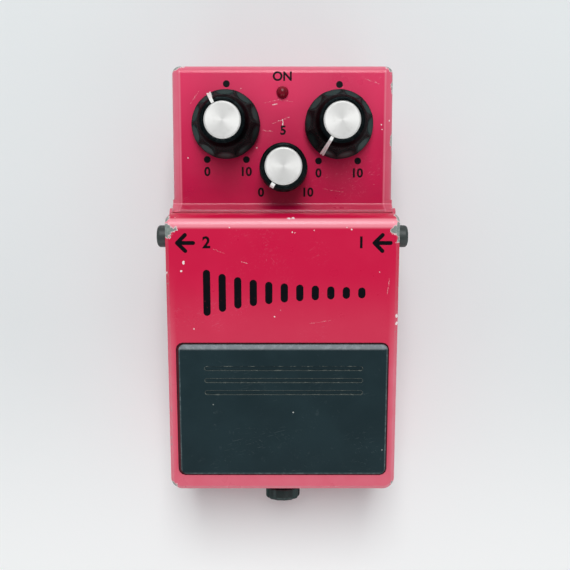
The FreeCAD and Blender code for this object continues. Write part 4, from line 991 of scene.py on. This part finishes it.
def printed_marks():
    dots = {"left": [(-16.4, 60.6), (-22.3, 39.0), (-10.7, 39.0)],
            "right": [(16.7, 60.4), (10.7, 38.6), (22.3, 38.6)]}
    for side, places in dots.items():
        for index, (x, y) in enumerate(places):
            disc = lathe([(1.0, PRINT_FOOT), (1.0, PRINT_LIFT)], 40)
            mark(f"{side}_dial_dot_{index}", disc, "base", "enamel", PANEL.place(x, y))
    numbers = [
        ("left_low", "0", -22.3, 35.4), ("left_high", "10", -10.9, 35.4), ("right_low", "0", 10.7, 35.0),
        ("right_high", "10", 22.1, 35.0), ("centre_half", "5", 0.2, 47.3), ("centre_low", "0", -6.4, 29.4),
        ("centre_high", "10", 7.4, 29.4), ("lamp_on", "ON", 0.0, 62.6)]
    for name, text, x, y in numbers:
        digits("number_" + name, text, 3.6, PANEL, x, y, "base", "enamel")
    arrow("arrow_out", -30.8)
    arrow("arrow_in", 25.8)
    for name, text, x in (("out", "2", -21.8), ("in", "1", 22.6)):
        digits("socket_number_" + name, text, 4.6, TREAD, x, ROW_Y, "treadle", "treadle_enamel")
    echo_bars()


def echo_bars():
    """Row of upright bars that die away to the right, like repeats of one sound."""
    count, left, right, y, width = 11, -21.9, 23.0, -0.6, 2.1
    for index in range(count):
        x = left + (right - left) * index / (count - 1)
        reach = 5.7 * 0.79 ** index
        bm = prism(capsule((0, -reach), (0, reach), width), PRINT_FOOT, PRINT_LIFT)
        mark(f"echo_bar_{index}", bm, "treadle", "treadle_enamel", TREAD.place(x, y))


# Ridge lip, hinge, spring, thumbscrew and fasteners

NOSE_R = 6.8
LIP_GAP = 0.14
LIP_HALF_WIDTH = 31.9
LIP_REAR_Y = 23.6
RIDGE_TOP_Z = 43.98


def ridge_lip():
    """Bead along the ridge that narrows the gap to the treadle's rounded nose."""
    radius = NOSE_R + LIP_GAP
    arc = [(HINGE_Y + radius * math.cos(turn), HINGE_Z + radius * math.sin(turn))
           for turn in [math.radians(step * 0.9 - 7.0) for step in range(11)]]
    arc = [(y, z) for y, z in arc if z < RIDGE_TOP_Z - 0.03]
    outline = arc + [(arc[-1][0] + 0.05, RIDGE_TOP_Z), (LIP_REAR_Y, RIDGE_TOP_Z), (LIP_REAR_Y, arc[0][1])]
    ends = (-LIP_HALF_WIDTH, LIP_HALF_WIDTH)
    return piece("ridge_lip", skin([[(x, y, z) for y, z in outline] for x in ends]), "base", "enamel")


def hinge_caps():
    low, high = box_mm("hinge_caps")
    face_x = 33.8
    length = high.x - face_x
    radius = (high.z - low.z) / 2
    corners = [(radius, 0.0, 0.0), (radius, length, 0.9), (1.9, length, 0.25), (1.5, length - 0.5, 0.25),
               (0.1, length - 0.55, 0.0)]
    bodies = []
    for side in (-1, 1):
        bm = lathe([(0.1, 0.0)] + eased(corners, 5), 72)
        bodies.append(moved(bm, along((side, 0, 0), (side * face_x, HINGE_Y, HINGE_Z))))
    return piece("hinge_cap_pair", together(*bodies), "hinge", "grey_plastic", "hinge_caps")


SPRING_AT = (15.5, -24.0)


def return_spring():
    """Round wire wound up from the deck."""
    low, high = box_mm("return_spring")
    wire, mean_r, turns, per_turn, corners = 0.55, 4.6, 5.5, 36, 12
    count = int(turns * per_turn)
    rings = []
    for index in range(count + 1):
        angle = 2 * math.pi * index / per_turn
        height = low.z + wire + (high.z - low.z - 2 * wire) * index / count
        ring = []
        for corner in range(corners):
            turn = 2 * math.pi * corner / corners
            out = mean_r + wire * math.cos(turn)
            ring.append((SPRING_AT[0] + out * math.cos(angle), SPRING_AT[1] + out * math.sin(angle),
                         height + wire * math.sin(turn)))
        rings.append(ring)
    spring = piece("return_spring_wire", skin(rings), "base", "spring_steel", "return_spring")
    travel = math.hypot(HINGE_Y - SPRING_AT[1], HINGE_Z - high.z) * math.radians(PRESS_ANGLE)
    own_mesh(spring)
    return spring


def thread(radius, start, length, pitch, depth):
    """Profile of a threaded length, as fine ridges."""
    points = []
    count = int(length / pitch)
    for index in range(count):
        height = start + index * pitch
        points += [(radius, height + pitch * 0.1), (radius - depth, height + pitch * 0.5),
                   (radius, height + pitch * 0.9)]
    return points


def thumb_knob():
    """Moulded knob with rounded ribs round its side and a domed end."""
    low, high = box_mm("thumb_knob")
    length = high.y - low.y
    radius, ribs, sides = 5.5, 13, 156

    def rib(angle):
        return 0.3 * (0.5 - 0.5 * math.cos(angle * ribs)) ** 0.7

    corners = [(radius - 0.25, 0.0, 0.0), (radius, 0.25, 0.15), (radius, length - 0.35, 1.2),
               (radius - 1.5, length - 0.04, 0.4), (2.6, length, 0.2), (2.2, length - 0.3, 0.1),
               (0.1, length - 0.3, 0.0)]
    rings = []
    for ring_r, height in eased(corners, 5):
        ripple = rib if ring_r > radius - 1.3 else None
        rings.append(circle(ring_r, height, sides, ripple))
    bore = [circle(2.05, height, sides) for height in (length - 1.2, 0.0)]
    return piece("thumb_knob_body", skin(bore + rings), "thumbscrew", "knob_black", "thumb_knob",
                 place=along((0, -1, 0), (0, high.y * MM, SCREW_Z * MM)))


def thumb_screw():
    low, high = box_mm("thumb_screw")
    length = high.y - low.y
    profile = [(0.1, 0.0), (1.95, 0.0)] + thread(2.0, 0.1, length - 0.9, 0.7, 0.3)
    profile += [(1.6, length - 0.5), (1.2, length), (0.1, length)]
    return piece("thumb_screw_thread", lathe(profile, 48), "thumbscrew", "zinc_steel", "thumb_screw",
                 place=along((0, 1, 0), (0, low.y * MM, SCREW_Z * MM)))


def jack(node, side):
    """Moulded socket with a threaded sleeve and a through bore."""
    low, high = box_mm(node)
    y, z = (low.y + high.y) / 2, (low.z + high.z) / 2
    bore_r, sleeve_r = 3.25, 4.75
    inner, shoulder, outer = 11.0, 30.7, 36.3
    block_end, length = shoulder - inner, outer - inner
    block = soft_box((-6.4, -6.0, 0.0), (6.4, 6.0, block_end), 0.5)
    sleeve = [(sleeve_r - 0.3, block_end - 1.0)]
    sleeve += thread(sleeve_r, block_end, outer - shoulder - 0.4, 0.8, 0.3)
    sleeve += [(sleeve_r - 0.3, length - 0.25), (sleeve_r - 0.6, length)]
    body = combined(block, [lathe(sleeve, 72)], "UNION")
    mouth_r = bore_r + 0.45
    bore = [(bore_r, -1.0), (bore_r, length - 0.4), (mouth_r, length + 0.05), (mouth_r, length + 1.0)]
    body = combined(body, [lathe(bore, 72)])
    turn = along((side, 0, 0), (side * inner, y, z))
    return piece(node + "_body", moved(body, turn), "base", "black_plastic", node)


def hexagon(corner_r, height):
    return lathe([(corner_r, 0.0), (corner_r, height)], 6)


def chamfered_nut(across_flats, bore_r, height):
    """Hexagon nut whose corners are turned off at both faces."""
    corner_r = across_flats / math.sqrt(3)
    outside_r, face_r, mouth_r = corner_r + 0.05, across_flats / 2 - 0.1, bore_r + 0.35
    turned = lathe([(face_r, -0.01), (outside_r, height * 0.28), (outside_r, height * 0.72),
                    (face_r, height + 0.01)], 72)
    body = combined(hexagon(corner_r, height), [turned], "INTERSECT")
    bore = lathe([(mouth_r, -0.1), (bore_r, 0.3), (bore_r, height - 0.3), (mouth_r, height + 0.1)], 60)
    return combined(body, [bore])


def jack_hardware():
    low, high = box_mm("input_jack")
    y, z = (low.y + high.y) / 2, (low.z + high.z) / 2
    wall_x, thickness = 33.62, 0.6
    corners = [(4.8, 0.0), (4.8, thickness), (6.45, thickness), (6.6, 0.45), (6.6, 0.0)]
    nuts, washers = [], []
    for side in (-1, 1):
        nut_place = along((side, 0, 0), (side * (wall_x + thickness), y, z))
        nuts.append(moved(chamfered_nut(12.0, 4.78, 1.9), nut_place))
        washers.append(moved(lathe(corners, 72, False), along((side, 0, 0), (side * wall_x, y, z))))
    piece("jack_nut_pair", together(*nuts), "base", "bright_nickel", "jack_nuts")
    piece("jack_washer_pair", together(*washers), "base", "bright_nickel", "jack_washers")


def power_socket():
    """Moulded block with a round collar in the rear wall."""
    low, high = box_mm("power_socket")
    z, back_y, block_y, hole_r = (low.z + high.z) / 2, 63.0, 63.85, 2.85
    block = soft_box((-7.0, low.y, low.z), (7.0, block_y, high.z), 0.5)
    corners = [(5.5, back_y, 0.0), (5.5, high.y, 0.25), (3.3, high.y, 0.2), (hole_r, high.y - 0.6, 0.0),
               (hole_r, back_y, 0.0)]
    collar = lathe([(r, h - back_y) for r, h in eased(corners, 3)], 72, False)
    collar = moved(collar, along((0, 1, 0), (0, back_y, z)))
    bore = moved(lathe([(hole_r, 0.0), (hole_r, 12.0)], 72), along((0, 1, 0), (0, high.y - 10.0, z)))
    body = combined(block, [bore])
    return piece("power_socket_body", together(body, collar), "base", "black_plastic", "power_socket")


def power_pin():
    low, high = box_mm("power_pin")
    radius, length = (high.x - low.x) / 2, high.y - low.y
    corners = [(0.05, 0.0, 0.0), (radius, 0.0, 0.0), (radius, length - 0.5, 0.3), (0.5, length, 0.2),
               (0.05, length, 0.0)]
    return piece("power_pin_tip", lathe(eased(corners, 4), 40), "base", "bright_nickel", "power_pin",
                 place=along((0, 1, 0), (0, low.y * MM, (low.z + high.z) / 2 * MM)))


def cross_screw(head_r, head_h, shank_r, length):
    """Screw with a crowned head, +Z into the work, and a cross recess."""
    corners = [(0.05, -head_h, 0.0), (head_r * 0.5, -head_h, 0.0), (head_r * 0.85, -head_h * 0.8, 0.3),
               (head_r, -0.1, 0.15), (head_r - 0.15, 0.0, 0.0)]
    body = lathe(eased(corners, 4) + [(shank_r, 0.0)] + thread(shank_r, 0.2, length - 1.2, 0.9, 0.25)
                 + [(0.4, length), (0.05, length)], 48)
    arms = []
    for x, y in ((1.6, 0.28), (0.28, 1.6)):
        arms.append(soft_box((-x, -y, -head_h - 1), (x, y, -head_h + 0.9), 0.05, 1))
    return combined(body, arms)


BASE_SCREWS = [(27.5, -54.0), (-27.5, -54.0), (27.5, 61.0), (-27.5, 61.0)]
BASE_SCREW_Z = 2.0


def base_screws():
    """Screws up into the case, each stopped at a turn of its own."""
    screws = []
    for index, (x, y) in enumerate(BASE_SCREWS):
        turn = Matrix.Rotation(math.radians(23 + 31 * index), 4, "Z")
        screws.append(moved(cross_screw(3.0, 1.6, 1.3, 9.5), Matrix.Translation((x, y, BASE_SCREW_Z)) @ turn))
    return piece("base_screw_set", together(*screws), "base", "zinc_steel", "base_screws")


def battery():
    """Nine-volt block with its two studs."""
    low, high = box_mm("battery")
    can_end, stud_x = high.y - 2.5, 6.35
    can = soft_box((low.x, low.y, low.z), (high.x, can_end, high.z), 1.1, 4)
    z, x = (low.z + high.z) / 2, (low.x + high.x) / 2
    stud = lathe([(3.2, 0.0), (2.4, 0.7), (2.4, 2.3), (2.1, 2.5), (1.5, 2.5), (1.2, 2.1), (0.1, 2.1)], 40)
    cup = combined(hexagon(2.9, 2.4), [lathe([(2.3, 0.8), (2.3, 3.0)], 40)])
    stud = moved(stud, along((0, 1, 0), (x + stud_x, can_end, z)))
    cup = moved(cup, along((0, 1, 0), (x - stud_x, can_end, z)))
    return piece("battery_block", together(can, stud, cup), "base", "battery_print", "battery")


def battery_cushion():
    """Foam strip under the battery."""
    low, high = box_mm("battery_foam")
    obj = piece("battery_cushion", soft_box(low, high, 0.3), "base", "foam", "battery_foam")
    return obj


def treadle_stops():
    """Rubber strips on the deck's front edge, with rounded tops."""
    low, high = box_mm("treadle_bumpers")
    corners = [(low.y, low.z, 0.0), (high.y, low.z, 0.0), (high.y, high.z, 0.5), (low.y, high.z - 0.35, 0.5)]
    strips = []
    for x in (-18.0, 18.0):
        strips.append(skin([[(x + end, y, z) for y, z in eased(corners, 4)] for end in (-6.0, 6.0)]))
    return piece("treadle_stop_pair", together(*strips), "base", "stop_rubber", "treadle_bumpers")


# CAD pieces that stay

WELD_REACH = 0.002
SHARP_ANGLE = 34.0
BEVEL_ANGLE = 36.0


def softening():
    """Two node groups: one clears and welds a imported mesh, one shades it smooth but for its sharp edges."""
    weld = bpy.data.node_groups.new("weld", "GeometryNodeTree")
    shade = bpy.data.node_groups.new("shade", "GeometryNodeTree")
    for group in (weld, shade):
        group.interface.new_socket("Geometry", in_out="INPUT", socket_type="NodeSocketGeometry")
        group.interface.new_socket("Geometry", in_out="OUTPUT", socket_type="NodeSocketGeometry")
    start = weld.nodes.new("NodeGroupInput").outputs[0]
    for attribute in ("custom_normal", "sharp_face", "sharp_edge"):
        drop = weld.nodes.new("GeometryNodeRemoveAttribute")
        drop.inputs["Name"].default_value = attribute
        weld.links.new(start, drop.inputs[0])
        start = drop.outputs[0]
    merge = weld.nodes.new("GeometryNodeMergeByDistance")
    merge.inputs["Distance"].default_value = WELD_REACH * MM
    weld.links.new(start, merge.inputs["Geometry"])
    weld.links.new(merge.outputs[0], weld.nodes.new("NodeGroupOutput").inputs[0])
    start = shade.nodes.new("NodeGroupInput").outputs[0]
    angle = shade.nodes.new("GeometryNodeInputMeshEdgeAngle").outputs["Unsigned Angle"]
    test = shade.nodes.new("FunctionNodeCompare")
    test.operation = "LESS_THAN"
    shade.links.new(angle, test.inputs["A"])
    test.inputs["B"].default_value = math.radians(SHARP_ANGLE)
    faces = shade.nodes.new("GeometryNodeSetShadeSmooth")
    shade.links.new(start, faces.inputs["Geometry"])
    edges = shade.nodes.new("GeometryNodeSetShadeSmooth")
    edges.domain = "EDGE"
    shade.links.new(faces.outputs[0], edges.inputs["Geometry"])
    shade.links.new(test.outputs[0], edges.inputs["Shade Smooth"])
    shade.links.new(edges.outputs[0], shade.nodes.new("NodeGroupOutput").inputs[0])
    return weld, shade


# Width of the soft edge on each CAD node that has one
BEVELS = {
    "case_shell": 0.3, "treadle": 0.42, "base_plate": 0.2, "rubber_base": 0.25, "foot_switch": 0.3,
    "guide_bush": 0.2, "battery_snap": 0.3, "treadle_striker": 0.12, "board_chips": 0.2, "hinge_bushes": 0.15,
    "thumb_washer": 0.12, "switch_plunger": 0.1, "left_pot": 0.2, "right_pot": 0.2, "centre_pot": 0.2}


def dress_cad_nodes():
    weld, shade = softening()
    for node, obj in NODES.items():
        for material_slot in obj.material_slots:
            material_slot.material = FINISHES[SLOT_OF[node]]
        obj.modifiers.new("weld", "NODES").node_group = weld
        if node in BEVELS:
            bevel = obj.modifiers.new("soft_edges", "BEVEL")
            bevel.width = BEVELS[node] * MM
            bevel.segments = 3
            bevel.limit_method = "ANGLE"
            bevel.angle_limit = math.radians(BEVEL_ANGLE)
        obj.modifiers.new("shade", "NODES").node_group = shade
        even_shading(obj)


# Stage

LAMP_AIM = (0, 0, 0.03)


def make_camera():
    data = bpy.data.cameras.new("camera")
    data.sensor_width = 36.0
    data.lens = FOCAL_PX / IMAGE_PX * data.sensor_width
    data.clip_start = 0.01
    camera = in_scene("camera", data)
    camera.location = Vector(CAMERA_AT) * MM
    camera.rotation_euler = (math.radians(CAMERA_TILT), 0, 0)
    bpy.context.scene.camera = camera


def make_floor():
    half = 3.0
    corners = [(-half, -half, 0), (half, -half, 0), (half, half, 0), (-half, half, 0)]
    mesh = bpy.data.meshes.new("floor")
    mesh.from_pydata(corners, [], [(0, 1, 2, 3)])
    finish = Finish("floor_paper", IOR=1.4, Emission_Color=COOL_WHITE)
    paper = finish.mix(finish.noise(60.0, 3.0), srgb(227, 232, 233), srgb(231, 236, 237))
    # Painted light: the paper is paler towards the front, where the light is brighter
    paper = finish.mix(finish.axis("Y").step(0.0, -110.0), paper, srgb(251, 253, 253))
    finish.relief((finish.noise(0.8, 4.0), 0.02))
    # Far from the lamps the paper keeps its pale tone for whatever sees it directly or mirrored
    rays = finish.add("ShaderNodeLightPath").outputs
    seen = finish.most(rays["Is Camera Ray"], rays["Is Glossy Ray"], rays["Is Transmission Ray"])
    far = finish.distance(finish.mm, (0.0, 0.0, 0.0)).step(150.0, 1300.0)
    mesh.materials.append(finish.output(Base_Color=paper, Roughness=finish.noise(20.0).between(0.8, 0.95),
                                        Emission_Strength=far * seen * 0.42))
    in_scene("floor", mesh)


def softbox(name, position, width, height, watts):
    """Rectangular lamp turned to the pedal; places and sizes in metres."""
    light = bpy.data.lights.new(name, "AREA")
    light.shape = "RECTANGLE"
    light.size = width
    light.size_y = height
    light.energy = watts
    lamp = in_scene(name, light)
    lamp.location = position
    lamp.rotation_euler = (Vector(LAMP_AIM) - Vector(position)).to_track_quat("-Z", "Y").to_euler()


def make_world():
    """Surroundings that are pale at the horizon, dim overhead and dimmest near the zenith."""
    world = bpy.data.worlds.new("studio")
    world.use_nodes = True
    graph = Graph(world.node_tree)
    towards = graph.add("ShaderNodeTexCoord").outputs["Generated"]
    level = graph.number("ShaderNodeSeparateXYZ", "Z", {0: towards}).step(0.0, 0.6).between(0.74, 0.3)
    level = level * graph.distance(towards, (0.0, -0.2, 0.98)).step(0.10, 0.34).between(0.3, 1.0)
    background = world.node_tree.nodes["Background"].inputs
    graph.feed(background["Strength"], level)
    background["Color"].default_value = COOL_WHITE
    bpy.context.scene.world = world


def make_lights():
    make_world()
    softbox("rear_softbox", (0.0, 0.58, 1.08), 0.5, 0.7, 9.6)
    softbox("front_fill", (0.1, -1.1, 0.7), 1.4, 0.5, 3.5)


make_camera()
make_floor()
make_lights()
dress_cad_nodes()
for dial_side in ("left", "right"):
    large_knob(dial_side)
    pointer(dial_side)
    cap(dial_side, LARGE_CAP_R, LARGE_CAP_TOP)
small_knob()
small_pointer()
cap("centre", SMALL_CAP_R, SMALL_CAP_TOP)
check_lamp()
treadle_pad()
printed_marks()
ridge_lip()
hinge_caps()
return_spring()
thumb_knob()
thumb_screw()
jack("input_jack", 1)
jack("output_jack", -1)
jack_hardware()
power_socket()
power_pin()
base_screws()
battery()
battery_cushion()
treadle_stops()
bpy.context.scene.view_settings.view_transform = "Standard"
